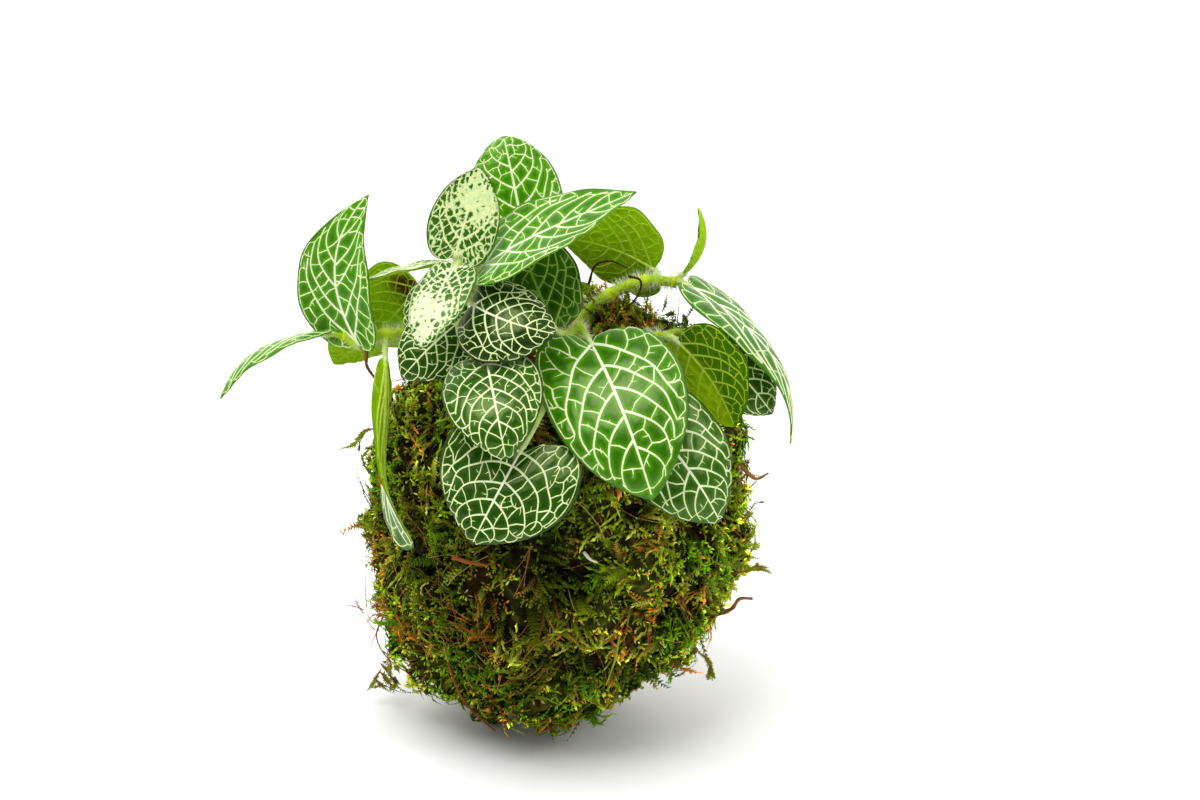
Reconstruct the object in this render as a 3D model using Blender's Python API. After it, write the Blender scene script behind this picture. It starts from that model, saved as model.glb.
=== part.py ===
"""Kokedama: a nerve plant whose root ball is wrapped in moss and bound with thread.

Frame: metres, +Z up, origin at the middle of the flat foot that the ball stands on.
The plant hangs over the ball's front, which faces -Y.
"""

import math
from collections import namedtuple

import bmesh
import bpy
import numpy as np
from mathutils import Vector

# ---- driving dimensions, metres ------------------------------------------------------
MM = 0.001
GAP = 0.35 * MM  # clearance between pieces that touch on the real plant

BALL_RADIUS = 45.5 * MM
BALL_CENTRE = Vector((0.0, 0.0, 50.0 * MM))
BALL_TOP = (47.0 * MM, 2.4)  # height over the centre, squareness (2 is an ellipse)
BALL_BOTTOM = (54.0 * MM, 1.9)  # the foot cuts the last 4 mm off
BALL_LEAN = 4.0 * MM  # how far the foot sits to the left of the ball's middle
FOOT_Z = 0.0
MOSS_THICKNESS = 8.0 * MM
MOUTH_ANGLE = math.radians(28.0)  # half angle of the opening that the stems come out of
FOOT_ANGLE = math.radians(17.0)  # half angle of the flat foot
NECK_CLEARANCE = math.radians(1.0)
SOIL_BELOW_RIM = 1.5 * MM
BALL_STEPS_ROUND = 28
BALL_STEPS_DOWN = 12

THREAD_RADIUS = 0.45 * MM
THREAD_TURNS = 3.25
THREAD_POINTS = 100
THREAD_TILT = math.radians(38.0)  # the winding's axis leans this far towards +X
THREAD_SPREAD = (math.radians(72.0), math.radians(118.0))  # first and last turn

BLADE_HALF_THICKNESS = 0.35 * MM
PETIOLE_RADIUS = 0.75 * MM
BLADE_SECTIONS = (0.035, 0.1, 0.2, 0.33, 0.47, 0.61, 0.74, 0.85, 0.93, 0.98)
SECTION_POINTS = 8
PETIOLE_SECTIONS = 3

# ---- colours: base colour, roughness -------------------------------------------------
COLOURS = {
    "moss": ((0.09, 0.14, 0.02), 0.95),
    "soil": ((0.035, 0.022, 0.012), 1.0),
    "thread": ((0.01, 0.01, 0.008), 0.8),
    "stem": ((0.28, 0.42, 0.05), 0.5),
    "leaf": ((0.05, 0.22, 0.03), 0.35),
    "young_leaf": ((0.55, 0.68, 0.35), 0.4),
    "twig": ((0.12, 0.05, 0.02), 0.9),
}


# ---- the ball ------------------------------------------------------------------------
def ball_radius(direction):
    """Distance from the ball's centre to the moss surface along a unit direction.

    It is a superellipsoid, fuller above and narrower below, with a few long, shallow
    swellings."""
    level = math.hypot(direction.x, direction.y)
    height, squareness = BALL_TOP if direction.z > 0 else BALL_BOTTOM
    shape = (level / BALL_RADIUS) ** squareness
    shape += (abs(direction.z) / height) ** squareness
    turn = math.atan2(direction.y, direction.x)
    swelling = 0.018 * math.sin(3 * turn + 0.6) * level
    swelling += 0.016 * math.sin(2 * turn - 1.1) * direction.z
    swelling += 0.012 * math.sin(5 * turn + 4.0 * direction.z) * level
    return shape ** (-1 / squareness) * (1 + swelling)


def over_ball(direction, above):
    """A point above the moss surface along a unit direction from the ball's centre."""
    point = BALL_CENTRE + direction * (ball_radius(direction) + above)
    below = max(BALL_CENTRE.z - point.z, 0.0) / BALL_CENTRE.z
    point.x -= BALL_LEAN * below * below
    return point


def ball_point(down, turn, inset=0.0):
    """A point inset below the moss surface. down is 0 at the top and pi at the foot."""
    direction = Vector(
        (
            math.sin(down) * math.cos(turn),
            math.sin(down) * math.sin(turn),
            math.cos(down),
        )
    )
    point = over_ball(direction, -inset)
    point.z = max(point.z, FOOT_Z + inset)
    return point


def turned_mesh(name, first, rings, last):
    """A closed mesh from rings of points, with a single point at each end."""
    mesh = bpy.data.meshes.new(name)
    bm = bmesh.new()
    loops = [[bm.verts.new(p) for p in ring] for ring in rings]
    count = len(loops[0])
    for upper, lower in zip(loops, loops[1:]):
        for i in range(count):
            j = (i + 1) % count
            bm.faces.new((upper[i], lower[i], lower[j], upper[j]))
    top, bottom = bm.verts.new(first), bm.verts.new(last)
    for i in range(count):
        j = (i + 1) % count
        bm.faces.new((top, loops[0][i], loops[0][j]))
        bm.faces.new((bottom, loops[-1][j], loops[-1][i]))
    bmesh.ops.recalc_face_normals(bm, faces=bm.faces)
    bm.to_mesh(mesh)
    bm.free()
    return mesh


def turns():
    return [2 * math.pi * i / BALL_STEPS_ROUND for i in range(BALL_STEPS_ROUND)]


def downs():
    """Polar angles from the mouth's rim to the foot's edge."""
    step = (math.pi - FOOT_ANGLE - MOUTH_ANGLE) / BALL_STEPS_DOWN
    return [MOUTH_ANGLE + step * i for i in range(BALL_STEPS_DOWN + 1)]


def add_moss_wrap():
    """The moss blanket: a thick bowl that closes in over the soil, with a mouth on top."""
    outer = [[ball_point(d, t) for t in turns()] for d in downs()]
    inner = [[ball_point(d, t, MOSS_THICKNESS) for t in turns()] for d in downs()]
    foot = ball_point(math.pi, 0.0)
    floor_inside = ball_point(math.pi, 0.0, MOSS_THICKNESS)
    rings = inner[::-1] + outer
    add_object("moss_wrap", turned_mesh("moss_wrap", floor_inside, rings, foot), "moss")


def add_soil_core(sockets):
    """The ball of soil and roots: it fills the moss and shows in its mouth."""
    inset = MOSS_THICKNESS + 2 * GAP
    neck = MOUTH_ANGLE - NECK_CLEARANCE
    rings = [
        [ball_point(share * neck, t, SOIL_BELOW_RIM) for t in turns()]
        for share in (0.4, 0.75, 1.0)
    ]
    rings.append([ball_point(neck, t, inset) for t in turns()])
    rings += [[ball_point(d, t, inset) for t in turns()] for d in downs()[1:]]
    top = ball_point(0.0, 0.0, SOIL_BELOW_RIM)
    mesh = turned_mesh("soil_core", top, rings, ball_point(math.pi, 0.0, inset))
    soil = add_object("soil_core", mesh, "soil")
    for socket in sockets:
        cut = soil.modifiers.new(socket.name, "BOOLEAN")
        cut.operation = "DIFFERENCE"
        cut.object = socket


def add_binding_thread():
    """One thread wound round the ball in a spiral about a leaning axis."""
    first, last = THREAD_SPREAD
    lean = Vector((math.sin(THREAD_TILT), 0.0, math.cos(THREAD_TILT)))
    across = Vector((0.0, 1.0, 0.0))
    third = lean.cross(across)
    points = []
    for i in range(THREAD_POINTS):
        share = i / (THREAD_POINTS - 1)
        turn = 2 * math.pi * THREAD_TURNS * share
        polar = first + (last - first) * share
        direction = lean * math.cos(polar)
        direction += (across * math.sin(turn) + third * math.cos(turn)) * math.sin(polar)
        point = over_ball(direction, THREAD_RADIUS + 2 * GAP)
        point.z = max(point.z, THREAD_RADIUS + GAP)
        points.append(point)
    add_tube("binding_thread", points, [THREAD_RADIUS] * len(points), "thread", sides=6)


# ---- stems ---------------------------------------------------------------------------
# Each stem is a smooth curve through a few points, millimetres. The first point is in
# the soil, and the leaves join it at its later points.
Stem = namedtuple("Stem", "points radius tip_radius")
STEMS = {
    "stem_front": Stem([(3, -8, 84), (4, -16, 95), (5, -26, 103), (6, -31, 106)], 1.5, 1.1),
    "stem_top": Stem(
        [(-9, -6, 84), (-12, -12, 98), (-15, -20, 110), (-18, -28, 118), (-20, -31, 122)],
        1.5,
        0.8,
    ),
    "stem_left": Stem(
        [(-14, 0, 84), (-20, -3, 95), (-29, -8, 99), (-38, -11, 99), (-48, -12, 99)],
        1.6,
        1.0,
    ),
    "stem_right": Stem(
        [(5, 3, 84), (7, -3, 100), (13, -6, 107), (21, -5, 110), (28, -6, 110)],
        1.9,
        1.2,
    ),
    "stem_right_low": Stem([(13, -8, 84), (17, -14, 97), (24, -20, 101)], 1.7, 1.1),
    "stem_back": Stem([(-2, 10, 84), (-2, 14, 97), (0, 20, 103)], 1.5, 1.1),
}


def smooth_through(points, count):
    """Evenly shared points on a Catmull-Rom curve through the given points."""
    knots = [Vector(p) for p in points]
    knots = [2 * knots[0] - knots[1], *knots, 2 * knots[-1] - knots[-2]]
    spans = len(knots) - 3
    found = []
    for i in range(count):
        place = spans * i / (count - 1)
        k = min(int(place), spans - 1)
        t = place - k
        a, b, c, d = knots[k : k + 4]
        found.append(
            0.5
            * (
                2 * b
                + (c - a) * t
                + (2 * a - 5 * b + 4 * c - d) * t * t
                + (3 * b - 3 * c + d - a) * t**3
            )
        )
    return found


def stem_points(stem, count=9):
    return [p * MM for p in smooth_through(stem.points, count)]


def stem_radii(stem, count=9):
    step = (stem.tip_radius - stem.radius) / (count - 1)
    return [(stem.radius + step * i) * MM for i in range(count)]


def add_stem(name, stem):
    add_tube(name, stem_points(stem), stem_radii(stem), "stem", sides=8)


def socket_cutter(name, stem):
    """The stem again, a little fatter: it cuts the hole that the stem stands in."""
    points = stem_points(stem)
    points[0] = points[0] - (points[1] - points[0]).normalized() * GAP
    radii = [r + GAP for r in stem_radii(stem)]
    curve = add_tube(name + "_socket", points, radii, "soil", sides=8)
    mesh = bpy.data.meshes.new_from_object(curve)
    cutter = bpy.data.objects.new(name + "_cutter", mesh)
    bpy.context.scene.collection.objects.link(cutter)
    bpy.data.objects.remove(curve)
    weld = cutter.modifiers.new("weld", "WELD")
    weld.merge_threshold = 0.00001
    cutter.hide_render = True
    cutter.display_type = "WIRE"
    return cutter


# ---- leaves --------------------------------------------------------------------------
# base and tip are the two ends of the blade's midrib, and face is the way that its upper
# side looks. arch bows the midrib towards face, hook does so nearer the tip and sway
# bows it sideways, all in millimetres. cup lifts the edges, as a share of the half width,
# twist turns the blade along its length, in degrees, lobe is how far the blade reaches
# back past its base, and point is how sharp the tip is.
Leaf = namedtuple(
    "Leaf",
    "stem joint base tip face width arch hook sway cup twist lobe point",
    defaults=(3.0, 0.0, 0.0, -0.1, 0.0, 0.06, 0.75),
)
LEAVES = {
    "leaf_front_large": Leaf(
        "stem_front", 3, (7, -35, 105), (22, -57, 75), (-0.1, -0.85, 0.5), 31, 5, 1, -1, -0.16
    ),
    "leaf_front_right": Leaf(
        "stem_right_low", 2, (20, -37, 94), (37, -43, 65), (0.35, -0.9, 0.25), 25, 3, 1, 0, -0.1
    ),
    "leaf_front_small": Leaf(
        "stem_front", 2, (-13, -43, 100.5), (-8, -60, 84), (-0.05, -0.7, 0.7), 22, 4, 1, 0, -0.2
    ),
    "leaf_front_low": Leaf(
        "stem_front", 2, (-3, -44, 88.5), (-15, -58, 63), (-0.1, -0.95, 0.3), 33, 3, 1, 0, -0.05
    ),
    "leaf_middle": Leaf(
        "stem_top", 2, (-15.5, -37, 110), (2, -44.5, 108.5), (-0.1, -0.8, 0.65), 20, 3, 0, 2, -0.25
    ),
    "leaf_centre_back": Leaf(
        "stem_front", 3, (3, -32, 110.5), (-5, -22, 127), (-0.2, -0.9, -0.1), 21, 2, 0, 0, 0.1
    ),
    "leaf_top": Leaf(
        "stem_top", 2, (-7, -17, 121), (-12, -11, 145), (0.1, -0.95, 0.3), 24, 2, 0, 0, -0.1
    ),
    "leaf_top_right": Leaf(
        "stem_top", 3, (-15, -31, 118), (18, -40, 138), (-0.2, -0.5, 0.85), 23, 3, -1, 1, 0.12
    ),
    "leaf_young_up": Leaf(
        "stem_top", 4, (-21, -33, 123), (-15, -29, 142), (-0.05, -0.95, 0.2), 17, 1, -1, 0, 0.15
    ),
    "leaf_young_down": Leaf(
        "stem_top", 4, (-20, -36, 121), (-27, -51, 107), (-0.3, -0.7, 0.65), 16, 2, 0, 0, -0.15
    ),
    "leaf_left_up": Leaf(
        "stem_left", 4, (-50, -15, 101), (-42, -8, 130), (-0.45, -0.85, 0.2), 19, 1, 1, -3, 0.1
    ),
    "leaf_left_out": Leaf(
        "stem_left", 4, (-52.5, -11, 99), (-75, -22, 87), (-0.4, 0.1, 0.9), 13, 4, 1, 0, -0.3
    ),
    "leaf_left_back": Leaf(
        "stem_left", 2, (-33, 0, 110), (-42, 5, 94), (0.1, 0.95, 0.2), 17, 2, 0, 0, 0.1
    ),
    "leaf_left_edge": Leaf(
        "stem_top", 2, (-25, -9, 114), (-41, -11, 112), (-0.1, 0.15, 1.0), 13, 2, 0, 0, 0.2
    ),
    "leaf_left_under": Leaf(
        "stem_left", 3, (-42, -7, 96), (-51, -1, 89), (-0.3, 0.9, 0.5), 14, 1, 0, 0, 0.1
    ),
    "leaf_left_inner": Leaf(
        "stem_top", 2, (-27, -20, 112), (-34, -27, 100), (-0.4, -0.9, 0.3), 14, 2, 0, 0, -0.1
    ),
    "leaf_left_dark": Leaf(
        "stem_top", 2, (-26, -30, 106), (-36, -35, 94), (-0.2, -0.9, 0.35), 15, 2, 0, 0, -0.1
    ),
    "leaf_left_hang": Leaf(
        "stem_left", 3, (-38, -17, 94), (-31, -43, 58), (-0.95, 0.2, 0.1), 18, 6, 1, 0, 0.15
    ),
    "leaf_right_back": Leaf(
        "stem_right", 3, (23, 2, 112), (4, 10, 120), (0.1, 0.85, 0.45), 21, 2, 0, 0, 0.1
    ),
    "leaf_right_curl": Leaf(
        "stem_right", 4, (30, -5, 112), (33, 0, 126), (-0.9, 0.1, 0.3), 10, -3, 0, 0, 0.3
    ),
    "leaf_right_out": Leaf(
        "stem_right", 4, (31, -10, 110), (54, -18, 76), (0.7, -0.25, 0.7), 20, 7, 2, 0, -0.2
    ),
    "leaf_right_under": Leaf(
        "stem_right_low", 2, (28, -24, 101), (41, -27, 82), (0.45, 0.85, 0.4), 24, 2, 0, 0, 0.05
    ),
    "leaf_right_low": Leaf(
        "stem_right_low", 2, (36, -12, 97), (50, -14, 81), (0.3, -0.9, 0.2), 17, 2, 0, 0, -0.1
    ),
    "leaf_back_left": Leaf(
        "stem_back", 2, (-10, 27, 104), (-32, 46, 86), (-0.3, 0.6, 0.75), 27, 5, 1, 0, -0.15
    ),
    "leaf_back_right": Leaf(
        "stem_back", 2, (9, 28, 103), (25, 52, 80), (0.3, 0.6, 0.75), 29, 5, 1, 0, -0.15
    ),
    "leaf_back_middle": Leaf(
        "stem_back", 2, (-4, 31, 99), (-5, 56, 72), (0.0, 0.8, 0.55), 28, 5, 1, 0, -0.1
    ),
}
YOUNG_LEAVES = ("leaf_young_up", "leaf_young_down")


def outline(along, point):
    """Half width of an egg-shaped blade, 1 at its widest. along is 0 at the base."""
    rise, fall = 0.55, point
    widest = rise / (rise + fall)
    peak = widest**rise * (1 - widest) ** fall
    return along**rise * (1 - along) ** fall / peak


def leaf_frame(leaf):
    """The blade's chord, the way across it and its upper side's direction."""
    base, tip = Vector(leaf.base), Vector(leaf.tip)
    chord = tip - base
    face = Vector(leaf.face)
    face = (face - chord * face.dot(chord) / chord.length_squared).normalized()
    across = chord.cross(face).normalized()
    return base, chord, across, face


def midrib(leaf, along):
    """A point on the midrib, millimetres."""
    base, chord, across, face = leaf_frame(leaf)
    bow = 4 * along * (1 - along)
    late_bow = 6.75 * along * along * (1 - along)
    lift = leaf.arch * bow + leaf.hook * late_bow
    return base + chord * along + face * lift + across * leaf.sway * bow


def blade_point(leaf, along, side, above):
    """A point on the blade: side runs -1 to 1 across it, above is its height in mm."""
    base, chord, across, face = leaf_frame(leaf)
    turn = math.radians(leaf.twist) * (along - 0.5)
    right = across * math.cos(turn) + face * math.sin(turn)
    up = face * math.cos(turn) - across * math.sin(turn)
    half = leaf.width / 2 * outline(along, leaf.point)
    back = leaf.lobe * chord.length * (1 - along) ** 4 * side * side
    point = midrib(leaf, along) + right * half * side - chord.normalized() * back
    return point + up * (leaf.cup * half * side * side + above)


def petiole_ring(leaf, start, share):
    """A round section of the leaf's stalk, share 0 at the stem and 1 near the blade."""
    base, _, across, _ = leaf_frame(leaf)
    ahead = (midrib(leaf, 0.05) - base).normalized()
    bend = base - ahead * (base - start).length * 0.45
    centre = start * (1 - share) ** 2 + bend * 2 * share * (1 - share) + base * share**2
    tangent = (bend - start) * (1 - share) + (base - bend) * share
    tangent.normalize()
    right = (across - tangent * across.dot(tangent)).normalized()
    up = right.cross(tangent)
    radius = PETIOLE_RADIUS / MM
    return [
        centre + (right * math.cos(a) + up * math.sin(a)) * radius
        for a in section_angles()
    ]


def section_angles():
    return [2 * math.pi * i / SECTION_POINTS for i in range(SECTION_POINTS)]


def blade_ring(leaf, along):
    """A flat, lens-shaped section of the blade."""
    thick = BLADE_HALF_THICKNESS / MM
    return [
        blade_point(leaf, along, math.cos(a), math.sin(a) * thick)
        for a in section_angles()
    ]


def stalk_start(leaf):
    """Where the stalk begins: just off the stem, towards the blade.

    The share over 1 keeps a stalk that leaves at a slant clear of the stem too."""
    stem = STEMS[leaf.stem]
    joint = Vector(stem.points[leaf.joint])
    ahead = (Vector(leaf.base) - joint).normalized()
    return joint + ahead * (1.5 * stem.radius + GAP / MM)


def add_leaf(name, leaf):
    start = stalk_start(leaf)
    shares = [0.92 * i / (PETIOLE_SECTIONS - 1) for i in range(PETIOLE_SECTIONS)]
    rings = [petiole_ring(leaf, start, share) for share in shares]
    rings += [blade_ring(leaf, along) for along in BLADE_SECTIONS]
    rings = [[p * MM for p in ring] for ring in rings]
    mesh = turned_mesh(name, start * MM, rings, midrib(leaf, 1.0) * MM)
    add_object(name, mesh, "young_leaf" if name in YOUNG_LEAVES else "leaf")


# ---- twigs and loose sprigs ----------------------------------------------------------
# Dry bits caught in the moss, each a thin bent rod, millimetres.
TWIGS = {
    "twig_right": ([(41, -15, 33.5), (43, -16, 36.5), (46, -17, 37)], 0.5),
    "twig_right_high": ([(43.5, -13, 71), (46, -13, 70.5), (49.5, -12, 65)], 0.5),
    "twig_left": ([(-42.5, -14, 96), (-42.5, -14, 92.5), (-41, -12, 89)], 0.5),
}
SPRIGS = {
    "sprig_left_low": ([(-37.5, 8, 16), (-41, 8, 10), (-38, 8, 4), (-34, 8, 3)], 1.2),
    "sprig_left_high": ([(-44, -9, 75), (-46, -10, 72.5), (-50, -10, 71)], 0.8),
    "sprig_right_low": ([(35.5, -14, 21), (36.5, -15, 19), (37, -16, 16)], 1.0),
    "sprig_right_mid": ([(45, -9, 41), (46.5, -9, 41.5), (48.5, -9, 41)], 1.0),
}


def add_rod(name, points, radius, colour):
    path = [p * MM for p in smooth_through(points, 6)]
    add_tube(name, path, [radius * MM] * len(path), colour, sides=6)


# ---- shared helpers ------------------------------------------------------------------
def material(colour):
    made = bpy.data.materials.get(colour)
    if made:
        return made
    base, roughness = COLOURS[colour]
    made = bpy.data.materials.new(colour)
    made.use_nodes = True
    shader = made.node_tree.nodes["Principled BSDF"]
    shader.inputs["Base Color"].default_value = (*base, 1.0)
    shader.inputs["Roughness"].default_value = roughness
    shader.inputs["Metallic"].default_value = 0.0
    return made


def add_object(name, data, colour):
    made = bpy.data.objects.new(name, data)
    bpy.context.scene.collection.objects.link(made)
    data.materials.append(material(colour))
    if made.type == "MESH":
        data.shade_smooth()
        data.set_sharp_from_angle(angle=math.radians(40))
    return made


def add_tube(name, points, radii, colour, sides):
    """A round tube with closed ends along the points, one radius for each."""
    curve = bpy.data.curves.new(name, "CURVE")
    curve.dimensions = "3D"
    curve.bevel_depth = 1.0
    curve.bevel_resolution = sides // 2 - 2
    curve.use_fill_caps = True
    spline = curve.splines.new("POLY")
    spline.points.add(len(points) - 1)
    for knot, point, radius in zip(spline.points, points, radii):
        knot.co = (*point, 1.0)
        knot.radius = radius
    return add_object(name, curve, colour)


def main():
    for obj in list(bpy.data.objects):
        bpy.data.objects.remove(obj)
    for name, stem in STEMS.items():
        add_stem(name, stem)
    add_moss_wrap()
    add_soil_core([socket_cutter(name, stem) for name, stem in STEMS.items()])
    add_binding_thread()
    for name, leaf in LEAVES.items():
        add_leaf(name, leaf)
    for name, (points, radius) in TWIGS.items():
        add_rod(name, points, radius, "twig")
    for name, (points, radius) in SPRIGS.items():
        add_rod(name, points, radius, "moss")


main()
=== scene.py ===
# %% [markdown]
# # A kokedama: a nerve plant growing from a ball of moss
#
# The real object is a ball of damp soil wrapped in sheet moss and bound with dark thread.
# A nerve plant grows out of its top, and its oval leaves, netted with cream veins, hang
# over the ball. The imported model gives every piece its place, in metres; this lesson makes
# the pieces again with the detail that the eye looks for.

import math
from collections import namedtuple

import bpy
import numpy as np
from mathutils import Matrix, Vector
from mathutils.geometry import delaunay_2d_cdt


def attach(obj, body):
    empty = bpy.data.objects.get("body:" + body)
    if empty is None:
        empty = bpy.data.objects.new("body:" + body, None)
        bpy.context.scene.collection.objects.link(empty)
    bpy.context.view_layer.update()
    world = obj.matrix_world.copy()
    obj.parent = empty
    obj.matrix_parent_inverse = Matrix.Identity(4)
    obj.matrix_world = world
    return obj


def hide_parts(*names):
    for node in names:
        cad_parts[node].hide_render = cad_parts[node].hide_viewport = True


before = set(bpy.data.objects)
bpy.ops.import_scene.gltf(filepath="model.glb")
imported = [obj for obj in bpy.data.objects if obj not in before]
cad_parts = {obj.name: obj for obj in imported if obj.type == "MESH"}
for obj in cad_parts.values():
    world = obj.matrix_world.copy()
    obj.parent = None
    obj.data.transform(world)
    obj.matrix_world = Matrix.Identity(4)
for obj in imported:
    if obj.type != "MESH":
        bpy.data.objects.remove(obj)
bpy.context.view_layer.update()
MM = 0.001

# %% [markdown]
# ## The camera, the floor and the light
#
# The camera looks from a little above through a long lens, so that the leaves keep their
# proportions. The floor is a plain pale sheet. The light is a white room with one large
# soft panel overhead and a small one at the side, so the ball's shadow is faint and soft.

# %% Camera
AIM = Vector((0.0106, 0.0, 0.080))
ELEVATION = math.radians(17.0)
DISTANCE = 0.70
scene = bpy.context.scene
lens = bpy.data.cameras.new("camera")
lens.lens = 90.0
lens.sensor_width = 36.0
lens.clip_start = 0.01
camera = bpy.data.objects.new("camera", lens)
camera.location = AIM + DISTANCE * Vector((0, -math.cos(ELEVATION), math.sin(ELEVATION)))
camera.rotation_euler = (AIM - camera.location).to_track_quat("-Z", "Y").to_euler()
scene.collection.objects.link(camera)
scene.camera = camera
print("camera at, mm:", [round(c / MM, 1) for c in camera.location])


# %% Colours and nodes
def linear(code):
    """An sRGB hex colour as linear numbers: below 0.04045 it is divided by 12.92, and
    above it is ((c + 0.055) / 1.055) to the power 2.4."""
    c = np.array([int(code[i : i + 2], 16) for i in (1, 3, 5)]) / 255
    return np.where(c < 0.04045, c / 12.92, ((c + 0.055) / 1.055) ** 2.4)


def add(tree, kind, inputs=None, **settings):
    """Adds a node. Settings are the node's own, and inputs maps a socket's name or number
    to a value, or to the output that feeds it."""
    made = tree.nodes.new("ShaderNode" + kind)
    for name, value in settings.items():
        setattr(made, name, value)
    for socket, value in (inputs or {}).items():
        if isinstance(value, bpy.types.NodeSocket):
            tree.links.new(value, made.inputs[socket])
        else:
            made.inputs[socket].default_value = value
    return made


def blank_material(name):
    made = bpy.data.materials.new(name)
    made.use_nodes = True
    made.node_tree.nodes.clear()
    return made, made.node_tree


def colour(code):
    return (*linear(code), 1.0)


# %% Floor, world and lamps
paper, tree = blank_material("matt white paper sweep")
grain = add(tree, "TexNoise", {"Scale": 60.0, "Detail": 2.0})
tone = add(
    tree,
    "MixRGB",
    {"Fac": grain.outputs["Fac"], "Color1": colour("#fbfbfa"), "Color2": colour("#ffffff")},
)
shader = add(tree, "BsdfPrincipled", {"Base Color": tone.outputs[0], "Roughness": 0.9})
add(tree, "OutputMaterial", {"Surface": shader.outputs[0]})

sweep = bpy.data.meshes.new("floor")
HALF_FLOOR = 3.0
sweep.from_pydata(
    [(x * HALF_FLOOR, y * HALF_FLOOR, 0.0) for x, y in ((-1, -1), (1, -1), (1, 1), (-1, 1))],
    [],
    [(0, 1, 2, 3)],
)
floor = bpy.data.objects.new("floor", sweep)
floor.data.materials.append(paper)
scene.collection.objects.link(floor)

ROOM_IN_FRONT, ROOM_BEHIND = 0.12, 1.8  # a white backdrop stands behind the plant
world = bpy.data.worlds.new("white room")
world.use_nodes = True
tree = world.node_tree
tree.nodes.clear()
where = add(tree, "TexCoord")
axes = add(tree, "SeparateXYZ", {0: where.outputs["Generated"]})
glow = add(tree, "MapRange", {"Value": axes.outputs["Y"], "From Min": -1.0})
glow.inputs["To Min"].default_value = ROOM_IN_FRONT
glow.inputs["To Max"].default_value = ROOM_BEHIND
room = add(tree, "Background", {"Color": (1, 1, 1, 1), "Strength": glow.outputs["Result"]})
add(tree, "OutputWorld", {"Surface": room.outputs[0]})
scene.world = world
scene.view_settings.view_transform = "Standard"


def add_panel(name, place, size, power):
    """A square soft light that looks at the plant."""
    data = bpy.data.lights.new(name, "AREA")
    data.size = size
    data.energy = power
    panel = bpy.data.objects.new(name, data)
    panel.location = place
    panel.rotation_euler = (AIM - Vector(place)).to_track_quat("-Z", "Y").to_euler()
    scene.collection.objects.link(panel)


add_panel("key panel", (-0.20, -0.40, 0.92), 0.62, 7.0)
add_panel("fill panel", (0.65, -0.55, 0.65), 0.30, 1.6)

# %% [markdown]
# ## How the shapes are made
#
# Leaves, veins, stems, hairs and moss shoots are all closed tubes of different sections: a
# blade is a very flat tube, a vein is a thin ridge and a hair is a spindle. So one function
# makes any number of tubes from an array of rings. Colours that follow a shape, such as a
# pale vein or a bright shoot tip, are worked out with the points and kept as an attribute.

# %% Closed tubes
Shape = namedtuple("Shape", "points faces finish tint")
LEAST_HEIGHT = 0.02  # nothing goes through the floor, mm


def unit(vectors):
    """Each vector divided by its length."""
    return vectors / np.linalg.norm(vectors, axis=-1, keepdims=True).clip(1e-12)


def outward(points, faces, owner, count):
    """The faces, with those of any inside-out body turned round. A body's signed volume is
    the sum of a . (b x c) / 6 over its triangles, and it is positive when they face out."""
    a, b, c = (points[faces[:, i]] for i in range(3))
    volume = np.bincount(owner, np.einsum("ij,ij->i", a, np.cross(b, c)), count)
    return np.where((volume < 0)[owner][:, None], faces[:, ::-1], faces)


def tubes(rings, first, last, tint, finish=0):
    """Closed tubes from rings[tube, step, corner]. Each ring is joined to the next by
    triangles, and each end is a fan to its own point. tint is a colour for each ring, or
    for each corner, and finish is a material number for each corner."""
    count, steps, corners = rings.shape[:3]
    tint = np.asarray(tint, float)
    if tint.ndim < 4:
        tint = np.broadcast_to(tint, (count, steps, 3))[:, :, None, :]
    tint = np.broadcast_to(tint, rings.shape)
    grid = np.arange(count * steps * corners).reshape(count, steps, corners)
    near, far = grid[:, :-1], grid[:, 1:]
    near_next, far_next = np.roll(near, -1, 2), np.roll(far, -1, 2)
    sides = np.stack([near, near_next, far_next, near, far_next, far], -1)
    ends = grid.size + np.arange(2 * count).reshape(2, count, 1)
    foot, head = grid[:, 0], grid[:, -1]
    foot_fan = np.stack([ends[0] + 0 * foot, np.roll(foot, -1, 1), foot], -1)
    head_fan = np.stack([ends[1] + 0 * head, head, np.roll(head, -1, 1)], -1)
    points = np.concatenate([rings.reshape(-1, 3), first, last])
    parts = [part.reshape(-1, 3) for part in (sides, foot_fan, head_fan)]
    faces = np.concatenate(parts)
    owner = np.concatenate([np.arange(len(part)) // (len(part) // count) for part in parts])
    finish = np.broadcast_to(finish, (corners,))
    finishes = [
        np.repeat(np.broadcast_to(finish, near.shape).ravel(), 2),
        np.broadcast_to(finish, foot.shape).ravel(),
        np.broadcast_to(finish, head.shape).ravel(),
    ]
    tints = [tint.reshape(-1, 3), tint[:, 0].mean(1), tint[:, -1].mean(1)]
    faces = outward(points, faces, owner, count)
    return Shape(points, faces, np.concatenate(finishes), np.concatenate(tints))


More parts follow.
